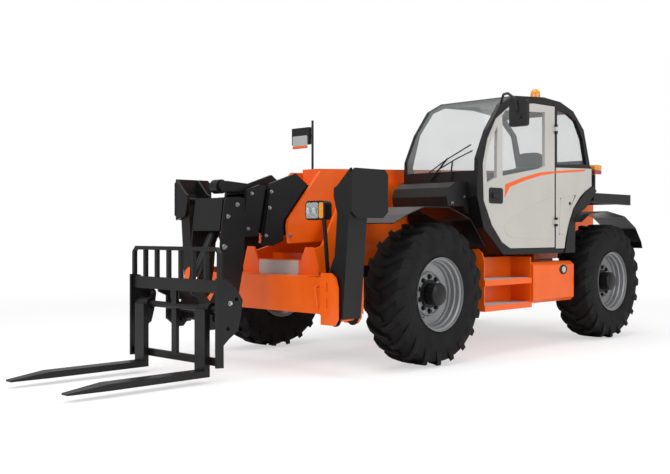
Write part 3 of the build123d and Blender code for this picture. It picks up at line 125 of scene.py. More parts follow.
floorMaterial, tree = newMaterial("paperFloor")
coords = addNode(tree, "ShaderNodeTexCoord")
distance = addNode(tree, "ShaderNodeVectorMath", {"operation": "LENGTH"}, {0: coords.outputs["Object"]})
fade = addNode(tree, "ShaderNodeMapRange",
               {"From Min": stageSet["near"], "From Max": stageSet["far"], "To Min": stageSet["lift"]},
               {"Value": distance.outputs["Value"]})
path = addNode(tree, "ShaderNodeLightPath")
seen = addNode(tree, "ShaderNodeMath", {"operation": "MULTIPLY"},
               {0: path.outputs["Is Camera Ray"], 1: fade.outputs[0]})
paper = addNode(tree, "ShaderNodeBsdfDiffuse", {"Color": srgb(stageSet["floor"])})
glow = addNode(tree, "ShaderNodeEmission", {"Color": srgb(stageSet["white"]), "Strength": 1.0})
faded = addNode(tree, "ShaderNodeMixShader", {},
                {0: seen.outputs[0], 1: paper.outputs[0], 2: glow.outputs[0]})
addNode(tree, "ShaderNodeOutputMaterial", {}, {"Surface": faded.outputs[0]})
bpy.ops.mesh.primitive_plane_add(size=stageSet["size"], location=(0, 0, 0))
floor = bpy.context.object
floor.name = "floor"
floor.data.materials.append(floorMaterial)

lampSet = [
    {"name": "topLamp", "place": (1.5, 0.5, 8.5), "aim": (0.3, 0, 0.5), "size": 7.0, "power": 430},
    {"name": "frontLamp", "place": (9.0, 0.5, 4.5), "aim": (1.0, 0, 1.0), "size": 4.0, "power": 190},
    {"name": "sideLamp", "place": (0.5, 8.5, 4.0), "aim": (0, 0, 1.2), "size": 4.5, "power": 200},
]
for lamp in lampSet:
    data = bpy.data.lights.new(lamp["name"], "AREA")
    data.size = lamp["size"]
    data.energy = lamp["power"]
    lampObject = bpy.data.objects.new(lamp["name"], data)
    lampObject.location = at(*lamp["place"])
    ray = at(*lamp["aim"]) - lampObject.location
    lampObject.rotation_euler = ray.to_track_quat("-Z", "Y").to_euler()
    bpy.context.scene.collection.objects.link(lampObject)
print("stage ready")

# what a finish has where it names nothing else; bumpDepth is in metres
plainFinish = {
    "driftMm": 350, "driftDetail": 3.0, "driftFrom": 0.3, "driftTo": 0.7,
    "glossMm": 110, "glossDetail": 4.0, "glossFrom": 0.85, "glossTo": 1.2,
    "bumpMm": 6, "bumpDetail": 2.0, "bump": 0.05, "bumpDepth": 0.002,
    "metallic": 0.0, "coat": 0.0, "coatRoughness": 0.08, "alpha": 1.0, "specular": 0.5,
}


def finishMaterial(name, own):
    # the colour drifts over driftMm, the gloss over glossMm, and a bump of bumpMm breaks up the shine
    look = plainFinish | own
    material, tree = newMaterial(name)
    coords = addNode(tree, "ShaderNodeTexCoord")
    drift = addNode(tree, "ShaderNodeTexNoise",
                    {"Scale": mmPerMetre / look["driftMm"], "Detail": look["driftDetail"]},
                    {"Vector": coords.outputs["Object"]})
    spread = addNode(tree, "ShaderNodeMapRange",
                     {"From Min": look["driftFrom"], "From Max": look["driftTo"]},
                     {"Value": drift.outputs["Fac"]})
    tint = addNode(tree, "ShaderNodeMix",
                   {"data_type": "RGBA", "A": srgb(look["shade"]), "B": srgb(look["color"])},
                   {"Factor": spread.outputs[0]})
    gloss = addNode(tree, "ShaderNodeTexNoise",
                    {"Scale": mmPerMetre / look["glossMm"], "Detail": look["glossDetail"]},
                    {"Vector": coords.outputs["Object"]})
    rough = addNode(tree, "ShaderNodeMapRange",
                    {"To Min": look["roughness"] * look["glossFrom"],
                     "To Max": min(1, look["roughness"] * look["glossTo"])},
                    {"Value": gloss.outputs["Fac"]})
    fine = addNode(tree, "ShaderNodeTexNoise",
                   {"Scale": mmPerMetre / look["bumpMm"], "Detail": look["bumpDetail"]},
                   {"Vector": coords.outputs["Object"]})
    bump = addNode(tree, "ShaderNodeBump", {"Strength": look["bump"], "Distance": look["bumpDepth"]},
                   {"Height": fine.outputs["Fac"]})
    shader = addNode(tree, "ShaderNodeBsdfPrincipled",
                     {"Metallic": look["metallic"], "Coat Weight": look["coat"],
                      "Coat Roughness": look["coatRoughness"], "Alpha": look["alpha"],
                      "Specular IOR Level": look["specular"]},
                     {"Base Color": tint.outputs["Result"], "Roughness": rough.outputs[0],
                      "Normal": bump.outputs[0]})
    addNode(tree, "ShaderNodeOutputMaterial", {}, {"Surface": shader.outputs[0]})
    return material


# each finish, with what it gives the eye
orangeEnamel = finishMaterial("orangeEnamel", {  # clear-coated paint with a soft orange peel
    "color": "#EF6208", "shade": "#E55B06", "roughness": 0.34, "coat": 0.25, "specular": 0.3,
    "bumpMm": 8})
blackEnamel = finishMaterial("blackEnamel", {  # satin chassis paint with a dim sheen
    "color": "#141415", "shade": "#0F0F10", "roughness": 0.4, "coat": 0.05, "specular": 0.25,
    "bumpMm": 8})
greyEnamel = finishMaterial("greyEnamel", {  # warm grey panel paint
    "color": "#BBB8B2", "shade": "#B5B2AC", "roughness": 0.32, "coat": 0.3, "bumpMm": 8})
silverEnamel = finishMaterial("silverEnamel", {  # wheel paint with a metallic glint
    "color": "#8E8F91", "shade": "#828385", "roughness": 0.38, "metallic": 0.35, "coat": 0.1})
tyreRubber = finishMaterial("tyreRubber", {  # dull moulded black with uneven tone
    "color": "#161616", "shade": "#0C0C0C", "roughness": 0.72, "specular": 0.2, "driftMm": 90,
    "bump": 0.2, "bumpMm": 4})
blackPolypropylene = finishMaterial("blackPolypropylene", {  # moulded plastic, its grain drawn coarser
    "color": "#151515", "shade": "#101010", "roughness": 0.44, "specular": 0.35,
    "bump": 0.2, "bumpMm": 2.5})
glossPolypropylene = finishMaterial("glossPolypropylene", {  # smooth moulding that mirrors the sky softly
    "color": "#0E0E0F", "shade": "#0A0A0B", "roughness": 0.3, "coat": 0.12, "specular": 0.3,
    "bumpMm": 20})
castIron = finishMaterial("castIron", {  # rough dark casting
    "color": "#303132", "shade": "#262728", "roughness": 0.55, "metallic": 0.3, "bump": 0.4, "bumpMm": 6})
chromedSteel = finishMaterial("chromedSteel", {  # mirror-bright rod
    "color": "#DADBDD", "shade": "#CFD0D2", "roughness": 0.12, "metallic": 1.0, "bump": 0.01})
zincPlate = finishMaterial("zincPlate", {  # bright bolt heads
    "color": "#C4C6C9", "shade": "#B2B4B7", "roughness": 0.3, "metallic": 1.0, "driftMm": 20})
seatCloth = finishMaterial("seatCloth", {  # cloth that takes no shine, its weave drawn coarser
    "color": "#242427", "shade": "#1A1A1C", "roughness": 0.9, "driftMm": 60, "bump": 0.6, "bumpMm": 2})
sealRubber = finishMaterial("sealRubber", {  # matt black ring
    "color": "#121212", "shade": "#0E0E0E", "roughness": 0.6, "bumpMm": 3})
amberPolycarbonate = finishMaterial("amberPolycarbonate", {  # clear amber moulding
    "color": "#F5A01A", "shade": "#E08A0E", "roughness": 0.12, "coat": 0.7, "alpha": 0.9, "driftMm": 40})
redPolycarbonate = finishMaterial("redPolycarbonate", {  # glossy red moulding
    "color": "#A8160D", "shade": "#8C1009", "roughness": 0.12, "coat": 0.7, "driftMm": 40})
tintedGlass = finishMaterial("tintedGlass", {  # pale grey-green pane that shows the cab behind it
    "color": "#B6BCBC", "shade": "#AEB4B4", "roughness": 0.03, "alpha": 0.16, "bump": 0.0})
clearPolycarbonate = finishMaterial("clearPolycarbonate", {  # lamp lens, nearly invisible
    "color": "#E2E6E8", "shade": "#DADEE0", "roughness": 0.05, "alpha": 0.3, "bump": 0.0})

finishes = {
    "orange_paint": orangeEnamel, "black_paint": blackEnamel, "grey_paint": greyEnamel,
    "rim_paint": silverEnamel, "tyre_rubber": tyreRubber, "chrome_rod": chromedSteel,
    "black_plastic": blackPolypropylene, "window_glass": tintedGlass, "seat_fabric": seatCloth,
    "lamp_plastic": blackPolypropylene, "tail_plastic": redPolycarbonate,
    "amber_plastic": amberPolycarbonate, "engine_iron": castIron,
}
edgeSet = {
    "merge": 0.00001, "sharpAngle": 32, "bevelAngle": 38, "bevelSegments": 2, "cadBevel": 0.003,
    "cadPlain": ("tyre", "rim", "door_glass", "cab_windows", "windscreen"),
}


def addBevel(piece, width):
    edge = piece.modifiers.new("edge", "BEVEL")
    edge.width = width
    edge.segments = edgeSet["bevelSegments"]
    edge.limit_method = "ANGLE"
    edge.angle_limit = math.radians(edgeSet["bevelAngle"])
    return edge


# the bevel takes hold only where the triangles of a CAD mesh share a sharp edge
for entry in frame["record"]["subparts"]:
    node = nodes[entry["node"]]
    node.data.materials.clear()
    glossy = entry["node"].startswith("mudguard")
    node.data.materials.append(glossPolypropylene if glossy else finishes[entry["material_slot"]])
    if not entry["node"].startswith(edgeSet["cadPlain"]):
        addBevel(node, edgeSet["cadBevel"]).harden_normals = True
print("materials ready")


def pieceFrom(mesh, name, material, body, bevel=0.0, replaced=()):
    bmesh.ops.remove_doubles(mesh, verts=mesh.verts, dist=edgeSet["merge"])
    bmesh.ops.recalc_face_normals(mesh, faces=mesh.faces)
    data = bpy.data.meshes.new(name)
    mesh.to_mesh(data)
    mesh.free()
    data.shade_smooth()
    data.set_sharp_from_angle(angle=math.radians(edgeSet["sharpAngle"]))
    data.materials.append(material)
    piece = bpy.data.objects.new(name, data)
    bpy.context.scene.collection.objects.link(piece)
    if bevel:
        addBevel(piece, bevel)
    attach(piece, body)
    if replaced:
        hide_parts(*replaced)
    return piece


def prism(mesh, points, push):
    # a flat outline pushed out into a solid
    face = mesh.faces.new([mesh.verts.new(point) for point in points])
    grown = bmesh.ops.extrude_face_region(mesh, geom=[face])["geom"]
    moved = [item for item in grown if isinstance(item, bmesh.types.BMVert)]
    bmesh.ops.translate(mesh, vec=push, verts=moved)


def sidePrism(mesh, outline, yLow, yHigh):
    prism(mesh, [at(x, yLow, z) for x, z in outline], leftward * (yHigh - yLow))


def frontPrism(mesh, outline, xLow, xHigh):
    prism(mesh, [at(xLow, y, z) for y, z in outline], forward * (xHigh - xLow))


def rounded(points, radius, steps=5, most=0.49):
    # cuts each corner of an outline with a smooth arc, which takes at most the given share of a side
    outline = []
    for index, point in enumerate(points):
        corner = Vector(point)
        before, after = Vector(points[index - 1]), Vector(points[(index + 1) % len(points)])
        start = corner + (before - corner).normalized() * min(radius, (before - corner).length * most)
        end = corner + (after - corner).normalized() * min(radius, (after - corner).length * most)
        for step in range(steps + 1):
            share = step / steps
            rest = 1 - share
            outline.append(tuple(start * rest ** 2 + corner * 2 * share * rest + end * share ** 2))
    return outline


def rectangle(low, high, radius):
    return rounded([(low[0], low[1]), (high[0], low[1]), (high[0], high[1]), (low[0], high[1])], radius)


def bridged(mesh, loops):
    # a skin from loop to loop, closed at both ends
    for first, second in zip(loops, loops[1:]):
        bmesh.ops.bridge_loops(mesh, edges=first + second)
    bmesh.ops.holes_fill(mesh, edges=loops[0] + loops[-1], sides=0)


def rod(mesh, points, radius, sides=10):
    # a round bar along a row of points
    loops = []
    for index, point in enumerate(points):
        along = points[min(index + 1, len(points) - 1)] - points[max(index - 1, 0)]
        matrix = Matrix.Translation(point) @ along.to_track_quat("Z", "Y").to_matrix().to_4x4()
        ring = bmesh.ops.create_circle(mesh, radius=radius, segments=sides, matrix=matrix)["verts"]
        loops.append(list({edge for vert in ring for edge in vert.link_edges}))
    bridged(mesh, loops)


def drum(mesh, base, axis, radius, height, topRadius=None, sides=24):
    # a cylinder that stands on its base, or a cone where topRadius is given
    turn = axis.to_track_quat("Z", "Y").to_matrix().to_4x4()
    bmesh.ops.create_cone(mesh, cap_ends=True, segments=sides, radius1=radius,
                          radius2=radius if topRadius is None else topRadius, depth=height,
                          matrix=Matrix.Translation(base + axis * height / 2) @ turn)


boltShape = {"washer": 0.62, "washerHeight": 0.14, "head": 0.5, "headHeight": 0.5, "headTop": 0.44}


def bolt(mesh, base, axis, size):
    # a washer and a tapered hexagon, as shares of the bolt's size
    lift = size * boltShape["washerHeight"]
    drum(mesh, base, axis, size * boltShape["washer"], lift)
    drum(mesh, base + axis * lift, axis, size * boltShape["head"], size * boltShape["headHeight"],
         size * boltShape["headTop"], sides=6)


def spun(mesh, profile, centre, axis, steps=48, closed=False):
    # a profile of radius and place along the axis, turned once round
    outward = axis.orthogonal().normalized()
    verts = [mesh.verts.new(centre + outward * radius + axis * along) for radius, along in profile]
    edges = [mesh.edges.new(pair) for pair in zip(verts, verts[1:])]
    if closed:
        edges.append(mesh.edges.new((verts[-1], verts[0])))
    bmesh.ops.spin(mesh, geom=verts + edges, cent=centre, axis=axis, angle=math.tau, steps=steps,
                   use_merge=True)


def spokeAt(angle):
    # from a wheel's middle, straight up at zero
    return Vector((math.sin(angle), 0, math.cos(angle)))


def surfaceAt(node, start, direction):
    # where a straight line first meets a CAD node, or nothing
    hit, place, _, _ = nodes[node].ray_cast(start, direction)
    return place if hit else None


# tyres: a round carcass with two rows of hooked lugs, half a pitch apart
tyreSet = {
    # radius and place along the axle, from the bead to the middle of the tread
    "half": [(0.306, 0.158), (0.335, 0.178), (0.40, 0.192), (0.47, 0.196), (0.54, 0.189),
             (0.580, 0.172), (0.592, 0.12), (0.597, 0.0)],
    "steps": 96, "lugs": 20,
    # place along the axle, lean round the tread, top and base radius, half width at top and base
    "rows": [(-0.012, 0.050, 0.626, 0.588, 0.024, 0.034), (0.05, 0.034, 0.626, 0.586, 0.025, 0.035),
             (0.11, -0.004, 0.625, 0.580, 0.026, 0.036), (0.16, -0.05, 0.620, 0.565, 0.027, 0.037),
             (0.188, -0.078, 0.602, 0.54, 0.026, 0.036), (0.199, -0.095, 0.566, 0.49, 0.018, 0.028)],
}


def tyreLug(mesh, centre, axis, turn, row):
    loops = []
    for along, lean, top, base, halfTop, halfBase in tyreSet["rows"]:
        ring = []
        for radius, half in ((base, -halfBase), (top, -halfTop), (top, halfTop), (base, halfBase)):
            spoke = spokeAt(turn + (lean + half) / radius)
            ring.append(mesh.verts.new(centre + spoke * radius + axis * (row * along)))
        loops.append([mesh.edges.new((ring[i - 1], ring[i])) for i in range(4)])
    bridged(mesh, loops)


def makeTyre(wheel, centre, axis):
    mesh = bmesh.new()
    half = tyreSet["half"]
    otherHalf = [(radius, -along) for radius, along in reversed(half[:-1])]
    spun(mesh, half + otherHalf, centre, axis, tyreSet["steps"], closed=True)
    for row in (-1, 1):
        for index in range(tyreSet["lugs"]):
            tyreLug(mesh, centre, axis, math.tau * (index + row / 4) / tyreSet["lugs"], row)
    pieceFrom(mesh, "tyre" + wheel, tyreRubber, "wheel_" + wheel, replaced=("tyre_" + wheel,))


# rims: stepped steel, all round from the outer flange by the disc and the barrel to the inner flange
rimSet = {
    "profile": [
        (0.322, 0.186), (0.318, 0.186), (0.314, 0.165), (0.300, 0.155), (0.296, 0.120), (0.284, 0.110),
        (0.280, 0.075), (0.272, 0.066), (0.266, 0.066), (0.262, 0.050), (0.200, 0.036), (0.186, 0.060),
        (0.178, 0.062), (0.172, 0.052), (0.10, 0.052), (0.10, 0.036), (0.19, 0.024), (0.268, 0.03),
        (0.276, 0.0), (0.276, -0.13), (0.296, -0.155), (0.314, -0.165), (0.318, -0.186),
        (0.322, -0.186), (0.318, -0.162), (0.3055, -0.155), (0.3055, 0.155), (0.318, 0.162),
    ],
    "steps": 72,
}


def makeRim(wheel, centre, axis):
    mesh = bmesh.new()
    spun(mesh, rimSet["profile"], centre, axis, rimSet["steps"], closed=True)
    pieceFrom(mesh, "rim" + wheel, silverEnamel, "wheel_" + wheel, replaced=("rim_" + wheel,))


# hubs: a capped black drum in a ring of nuts, and the tyre's valve
hubSet = {
    "profile": [(0, 0.186), (0.05, 0.184), (0.085, 0.176), (0.098, 0.165), (0.098, 0.068),
                (0.125, 0.066), (0.125, 0.045)],
    "steps": 40, "nuts": 10, "nutCircle": 0.150, "nutFace": 0.052, "nutSize": 0.036,
    "valve": (0.1175, -0.19975), "valveReach": (0.03, 0.09), "valveRadius": 0.006,
}


def makeHub(wheel, centre, axis):
    mesh = bmesh.new()
    spun(mesh, hubSet["profile"], centre, axis, hubSet["steps"])
    for index in range(hubSet["nuts"]):
        spoke = spokeAt(math.tau * index / hubSet["nuts"])
        place = centre + spoke * hubSet["nutCircle"] + axis * hubSet["nutFace"]
        bolt(mesh, place, axis, hubSet["nutSize"])
    x, z = hubSet["valve"]
    foot = centre + Vector((x, 0, z))
    rod(mesh, [foot + axis * reach for reach in hubSet["valveReach"]], hubSet["valveRadius"])
    pieceFrom(mesh, "hub" + wheel, blackEnamel, "wheel_" + wheel)


for end in ("front", "rear"):
    for side, out in (("left", 1), ("right", -1)):
        wheel = f"{end}_{side}"
        low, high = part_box("rim_" + wheel)
        for make in (makeTyre, makeRim, makeHub):
            make(wheel, (low + high) / 2, leftward * out)
print("wheels ready")

# seat: a moulded base with two stuffed cushions and a headrest
seatSet = {
    "base": [(-0.66, 0.985), (-0.2, 0.985), (-0.17, 1.24), (-0.2, 1.3), (-0.66, 1.3)],
    "baseY": (0.5, 0.92), "baseCorner": 0.04, "baseBevel": 0.01,
    "pan": {"centre": (-0.40, 0.71, 1.35), "size": (0.50, 0.46, 0.15), "lean": -3},
    "back": {"centre": (-0.60, 0.71, 1.62), "size": (0.14, 0.44, 0.50), "lean": -8},
    "head": {"centre": (-0.645, 0.71, 1.93), "size": (0.11, 0.26, 0.17), "lean": -8},
    "cuts": 9, "squareness": 5,  # a sphere has a squareness of 2
}


def cushion(name, shape, replaced=()):
    # a stuffed block: its faces swell and its corners draw in
    mesh = bmesh.new()
    bmesh.ops.create_cube(mesh, size=2)
    bmesh.ops.subdivide_edges(mesh, edges=mesh.edges, cuts=seatSet["cuts"], use_grid_fill=True)
    power = seatSet["squareness"]
    for vert in mesh.verts:
        vert.co /= sum(abs(c) ** power for c in vert.co) ** (1 / power)
        vert.co = Vector([c * s / 2 for c, s in zip(vert.co, shape["size"])])
    lean = Matrix.Rotation(math.radians(shape["lean"]), 3, "Y")
    bmesh.ops.rotate(mesh, verts=mesh.verts, cent=(0, 0, 0), matrix=lean)
    bmesh.ops.translate(mesh, vec=at(*shape["centre"]), verts=mesh.verts)
    pieceFrom(mesh, name, seatCloth, "chassis", replaced=replaced)


base = bmesh.new()
sidePrism(base, rounded(seatSet["base"], seatSet["baseCorner"]), *seatSet["baseY"])
pieceFrom(base, "seatBase", blackPolypropylene, "chassis", bevel=seatSet["baseBevel"])
cushion("seatPan", seatSet["pan"], replaced=("seat",))
cushion("seatBack", seatSet["back"])
cushion("seatHead", seatSet["head"])

# steering wheel: a thick ring on three spokes
steeringSet = {
    "centre": (0.300, 0.700, 1.640), "lean": 35, "ring": 0.172, "tube": 0.016, "tubeSides": 12,
    "hub": 0.045, "hubTop": 0.035, "hubHeight": 0.045, "hubDrop": 0.03,
    "spokes": 3, "spokeRadius": 0.011, "spokeDrop": 0.01,
}
centre = at(*steeringSet["centre"])
lean = math.radians(steeringSet["lean"])
axis = Vector((-math.sin(lean), 0, math.cos(lean)))
tube = []
for index in range(steeringSet["tubeSides"]):
    angle = math.tau * index / steeringSet["tubeSides"]
    tube.append((steeringSet["ring"] + steeringSet["tube"] * math.cos(angle),
                 steeringSet["tube"] * math.sin(angle)))
steering = bmesh.new()
spun(steering, tube, centre, axis, closed=True)
drum(steering, centre - axis * steeringSet["hubDrop"], axis, steeringSet["hub"],
     steeringSet["hubHeight"], steeringSet["hubTop"])
for index in range(steeringSet["spokes"]):
    turn = Matrix.Rotation(math.tau * index / steeringSet["spokes"], 3, axis)
    spoke = turn @ axis.orthogonal().normalized()
    rod(steering, [centre - axis * steeringSet["spokeDrop"], centre + spoke * steeringSet["ring"]],
        steeringSet["spokeRadius"])
pieceFrom(steering, "steeringWheel", blackPolypropylene, "chassis", replaced=("steering_wheel",))

# beacon: an amber dome on a black foot
beaconSet = {
    "foot": [(0, 0), (0.064, 0), (0.064, 0.022), (0.058, 0.03), (0.0, 0.03)],
    "dome": [(0.055, 0.03), (0.055, 0.045), (0.052, 0.048), (0.052, 0.12), (0.048, 0.155),
             (0.034, 0.178), (0.016, 0.188), (0, 0.19)],
    "steps": 40,
}
low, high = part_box("beacon")
stand = Vector(((low.x + high.x) / 2, (low.y + high.y) / 2, low.z))
foot = bmesh.new()
spun(foot, beaconSet["foot"], stand, upward, beaconSet["steps"])
pieceFrom(foot, "beaconFoot", blackPolypropylene, "chassis")
dome = bmesh.new()
spun(dome, beaconSet["dome"], stand, upward, beaconSet["steps"])
pieceFrom(dome, "beaconDome", amberPolycarbonate, "chassis", replaced=("beacon",))
print("cab fittings ready")

# cab side: grey rear panel with its hatch and latch, the stripe, and the door's pressed line
panelSet = {
    "face": 1.120,  # the cab's left face; each depth below is measured out from it
    "panel": [(-0.474, 1.003), (-0.474, 1.832), (-0.86, 1.845), (-1.2, 1.855), (-1.2, 1.665),
              (-1.058, 1.604), (-0.95, 1.54), (-0.821, 1.424), (-0.75, 1.31), (-0.706, 1.218),
              (-0.66, 1.1), (-0.641, 1.003)],
    "panelDepth": (-0.004, 0.003), "panelBevel": 0.0015,
    "hatch": [(-0.605, 1.144), (-0.531, 1.144), (-0.559, 1.522), (-0.85, 1.558), (-0.679, 1.333)],
    "hatchDepth": (0, 0.006), "hatchCorner": 0.03,
    "latch": (-0.74, 1.47), "latchRadius": 0.018, "latchDepth": 0.005, "latchHeight": 0.006,
    "latchBevel": 0.001,
    "rearStripe": [(-0.476, 1.797), (-1.085, 1.845), (-1.035, 1.819), (-0.476, 1.775)],
    "rearStripeDepth": (0.002, 0.0036),
    "doorStripe": [(-0.462, 1.797), (-0.169, 1.769), (0.139, 1.706), (0.443, 1.627), (0.455, 1.494),
                   (0.364, 1.606), (0.085, 1.682), (-0.197, 1.74), (-0.462, 1.775)],
    "doorStripeDepth": (-0.002, 0.0008),
    "line": [(-0.45, 1.544), (-0.03, 1.44), (0.323, 1.298), (0.467, 1.224), (0.426, 1.151),
             (0.321, 1.114), (-0.45, 1.101)],
    "lineDepth": -0.002, "lineRadius": 0.005, "lineSides": 8,
}
face = panelSet["face"]


def cabSlab(mesh, outline, depth):
    sidePrism(mesh, outline, face + depth[0], face + depth[1])


panel = bmesh.new()
cabSlab(panel, panelSet["panel"], panelSet["panelDepth"])
cabSlab(panel, rounded(panelSet["hatch"], panelSet["hatchCorner"]), panelSet["hatchDepth"])
pieceFrom(panel, "rearPanel", greyEnamel, "chassis", bevel=panelSet["panelBevel"])
for name, body in (("rearStripe", "chassis"), ("doorStripe", "door")):
    stripe = bmesh.new()
    cabSlab(stripe, panelSet[name], panelSet[name + "Depth"])
    pieceFrom(stripe, name, orangeEnamel, body)
line = bmesh.new()
rod(line, [at(x, face + panelSet["lineDepth"], z) for x, z in panelSet["line"]],
    panelSet["lineRadius"], panelSet["lineSides"])
pieceFrom(line, "doorSwage", greyEnamel, "door")
latch = bmesh.new()
x, z = panelSet["latch"]
drum(latch, at(x, face + panelSet["latchDepth"], z), leftward, panelSet["latchRadius"],
     panelSet["latchHeight"])
pieceFrom(latch, "hatchLatch", blackPolypropylene, "chassis", bevel=panelSet["latchBevel"])

# door handle: a tray, a paddle and a lock button
handleSet = {
    "tray": ((0.483, 1.44), (0.713, 1.59)), "trayCorner": 0.03, "trayDepth": (-0.003, 0.004),
    "paddle": ((0.503, 1.49), (0.663, 1.54)), "paddleCorner": 0.02, "paddleDepth": (0.004, 0.018),
    "button": (0.686, 1.515), "buttonRadius": 0.013, "buttonHeight": 0.008, "bevel": 0.002,
}
handle = bmesh.new()
for name in ("tray", "paddle"):
    outline = rectangle(*handleSet[name], handleSet[name + "Corner"])
    cabSlab(handle, outline, handleSet[name + "Depth"])
x, z = handleSet["button"]
drum(handle, at(x, face + handleSet["trayDepth"][1], z), leftward, handleSet["buttonRadius"],
     handleSet["buttonHeight"])
pieceFrom(handle, "doorHandle", blackPolypropylene, "door", bevel=handleSet["bevel"])

# left mirror: the glass looks back, and a knob sits on the shell's front
mirrorSet = {
    "low": (1.362, 2.147), "high": (1.528, 2.363), "corner": 0.02, "x": (0.682, 0.686),
    "knob": (0.724, 1.468, 2.224), "knobRadius": 0.022, "knobTop": 0.018, "knobHeight": 0.012,
}
glass = bmesh.new()
frontPrism(glass, rectangle(mirrorSet["low"], mirrorSet["high"], mirrorSet["corner"]), *mirrorSet["x"])
pieceFrom(glass, "mirrorGlass", chromedSteel, "chassis")
knob = bmesh.new()
drum(knob, at(*mirrorSet["knob"]), forward, mirrorSet["knobRadius"], mirrorSet["knobHeight"],
     mirrorSet["knobTop"])
pieceFrom(knob, "mirrorKnob", blackPolypropylene, "chassis")

# right mirror: its glass, with the orange edge below
farMirror = {
    "low": (-1.045, 2.05), "high": (-0.82, 2.185), "middle": (-0.95, 2.12),
    "sink": 0.001, "glassRise": 0.003, "glassCorner": 0.02,
    "edge": 0.028, "edgeRise": 0.004, "edgeCorner": 0.01,
}
place = surfaceAt("mirror_right", at(outside, *farMirror["middle"]), -forward)
if place:
    x = place.x - middle.x
    low, high = farMirror["low"], farMirror["high"]
    split = low[1] + farMirror["edge"]
    glass = bmesh.new()
    frontPrism(glass, rectangle((low[0], split), high, farMirror["glassCorner"]),
               x - farMirror["sink"], x + farMirror["glassRise"])
    pieceFrom(glass, "farMirrorGlass", chromedSteel, "chassis")
    edge = bmesh.new()
    frontPrism(edge, rectangle(low, (high[0], split), farMirror["edgeCorner"]),
               x - farMirror["sink"], x + farMirror["edgeRise"])
    pieceFrom(edge, "farMirrorEdge", orangeEnamel, "chassis")

# wipers: each blade follows the windscreen where its line meets the glass, and an arm holds its middle
wiperSet = {
    "lines": [((0.42, 1.66), (1.0, 1.99)), ((0.66, 1.76), (1.04, 1.93))], "steps": 8, "least": 3,
    "lift": 0.014, "blade": 0.006, "arm": 0.008, "armLift": 0.01, "sides": 8,
    "footX": 0.915, "footStep": 0.16, "footZ": 1.66,  # footStep is counted from where the blade starts
}
wipers = bmesh.new()
for start, end in wiperSet["lines"]:
    points = []
    for step in range(wiperSet["steps"] + 1):
        share = step / wiperSet["steps"]
        y, z = start[0] + (end[0] - start[0]) * share, start[1] + (end[1] - start[1]) * share
        place = surfaceAt("windscreen", at(outside, y, z), -forward)
        if place:
            points.append(place + forward * wiperSet["lift"])
    if len(points) >= wiperSet["least"]:
        rod(wipers, points, wiperSet["blade"], wiperSet["sides"])
        foot = at(wiperSet["footX"], start[0] + wiperSet["footStep"], wiperSet["footZ"])
        hold = points[len(points) // 2] + forward * wiperSet["armLift"]
        rod(wipers, [foot, hold], wiperSet["arm"], wiperSet["sides"])
pieceFrom(wipers, "wipers", blackPolypropylene, "chassis")

# headlamps: two bright reflectors behind a clear lens, and an amber end beside it
headlampSet = {
    "x": 2.6, "z": (1.285, 1.415), "lens": (0.615, 0.755), "amber": (0.765, 0.815),
    "rise": (0.0006, 0.008), "corner": 0.02, "bevel": 0.002,
    "bowl": [(0.0, 0.0005), (0.012, 0.0012), (0.024, 0.003), (0.033, 0.0055), (0.035, 0.0005)],
    "bowlShares": (0.25, 0.75), "bowlSteps": 24,
}
zLow, zHigh = headlampSet["z"]
for side, out in (("Left", 1), ("Right", -1)):
    for name, material in (("lens", clearPolycarbonate), ("amber", amberPolycarbonate)):
        yLow, yHigh = sorted(out * y for y in headlampSet[name])
        mesh = bmesh.new()
        frontPrism(mesh, rectangle((yLow, zLow), (yHigh, zHigh), headlampSet["corner"]),
                   *(headlampSet["x"] + rise for rise in headlampSet["rise"]))
        pieceFrom(mesh, "headlamp" + name.capitalize() + side, material, "chassis",
                  bevel=headlampSet["bevel"])
    bright = bmesh.new()
    yLow, yHigh = headlampSet["lens"]
    for share in headlampSet["bowlShares"]:
        y = yLow + (yHigh - yLow) * share
        spun(bright, headlampSet["bowl"], at(headlampSet["x"], out * y, (zLow + zHigh) / 2), forward,
             headlampSet["bowlSteps"])
    pieceFrom(bright, "headlampReflector" + side, chromedSteel, "chassis")

# tail lamp: amber over red, in one black tray, filling the box of the CAD lamp
tailSet = {
    "split": 0.45, "gap": 0.001, "edge": 0.004, "corner": 0.012, "bevel": 0.004, "back": 0.01,
    "front": 0.002, "tray": 0.012, "traySide": 0.002, "trayCorner": 0.01,
}
low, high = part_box("tail_lamp")
split = low.z + (high.z - low.z) * tailSet["split"]
halves = (("tailRed", redPolycarbonate, low.z + tailSet["edge"], split - tailSet["gap"]),
          ("tailAmber", amberPolycarbonate, split + tailSet["gap"], high.z - tailSet["edge"]))
for name, material, zLow, zHigh in halves:
    mesh = bmesh.new()
    outline = rectangle((low.x, zLow), (high.x, zHigh), tailSet["corner"])
    depth = high.y - low.y - tailSet["back"] - tailSet["front"]
    prism(mesh, [Vector((x, low.y + tailSet["back"], z)) for x, z in outline], leftward * depth)
    replaced = ("tail_lamp",) if name == "tailRed" else ()
    pieceFrom(mesh, name, material, "chassis", bevel=tailSet["bevel"], replaced=replaced)
tray = bmesh.new()
outline = rectangle((low.x + tailSet["traySide"], low.z), (high.x - tailSet["traySide"], high.z),
                    tailSet["trayCorner"])
prism(tray, [Vector((x, low.y, z)) for x, z in outline], leftward * tailSet["tray"])
pieceFrom(tray, "tailTray", blackPolypropylene, "chassis")
print("lamps ready")

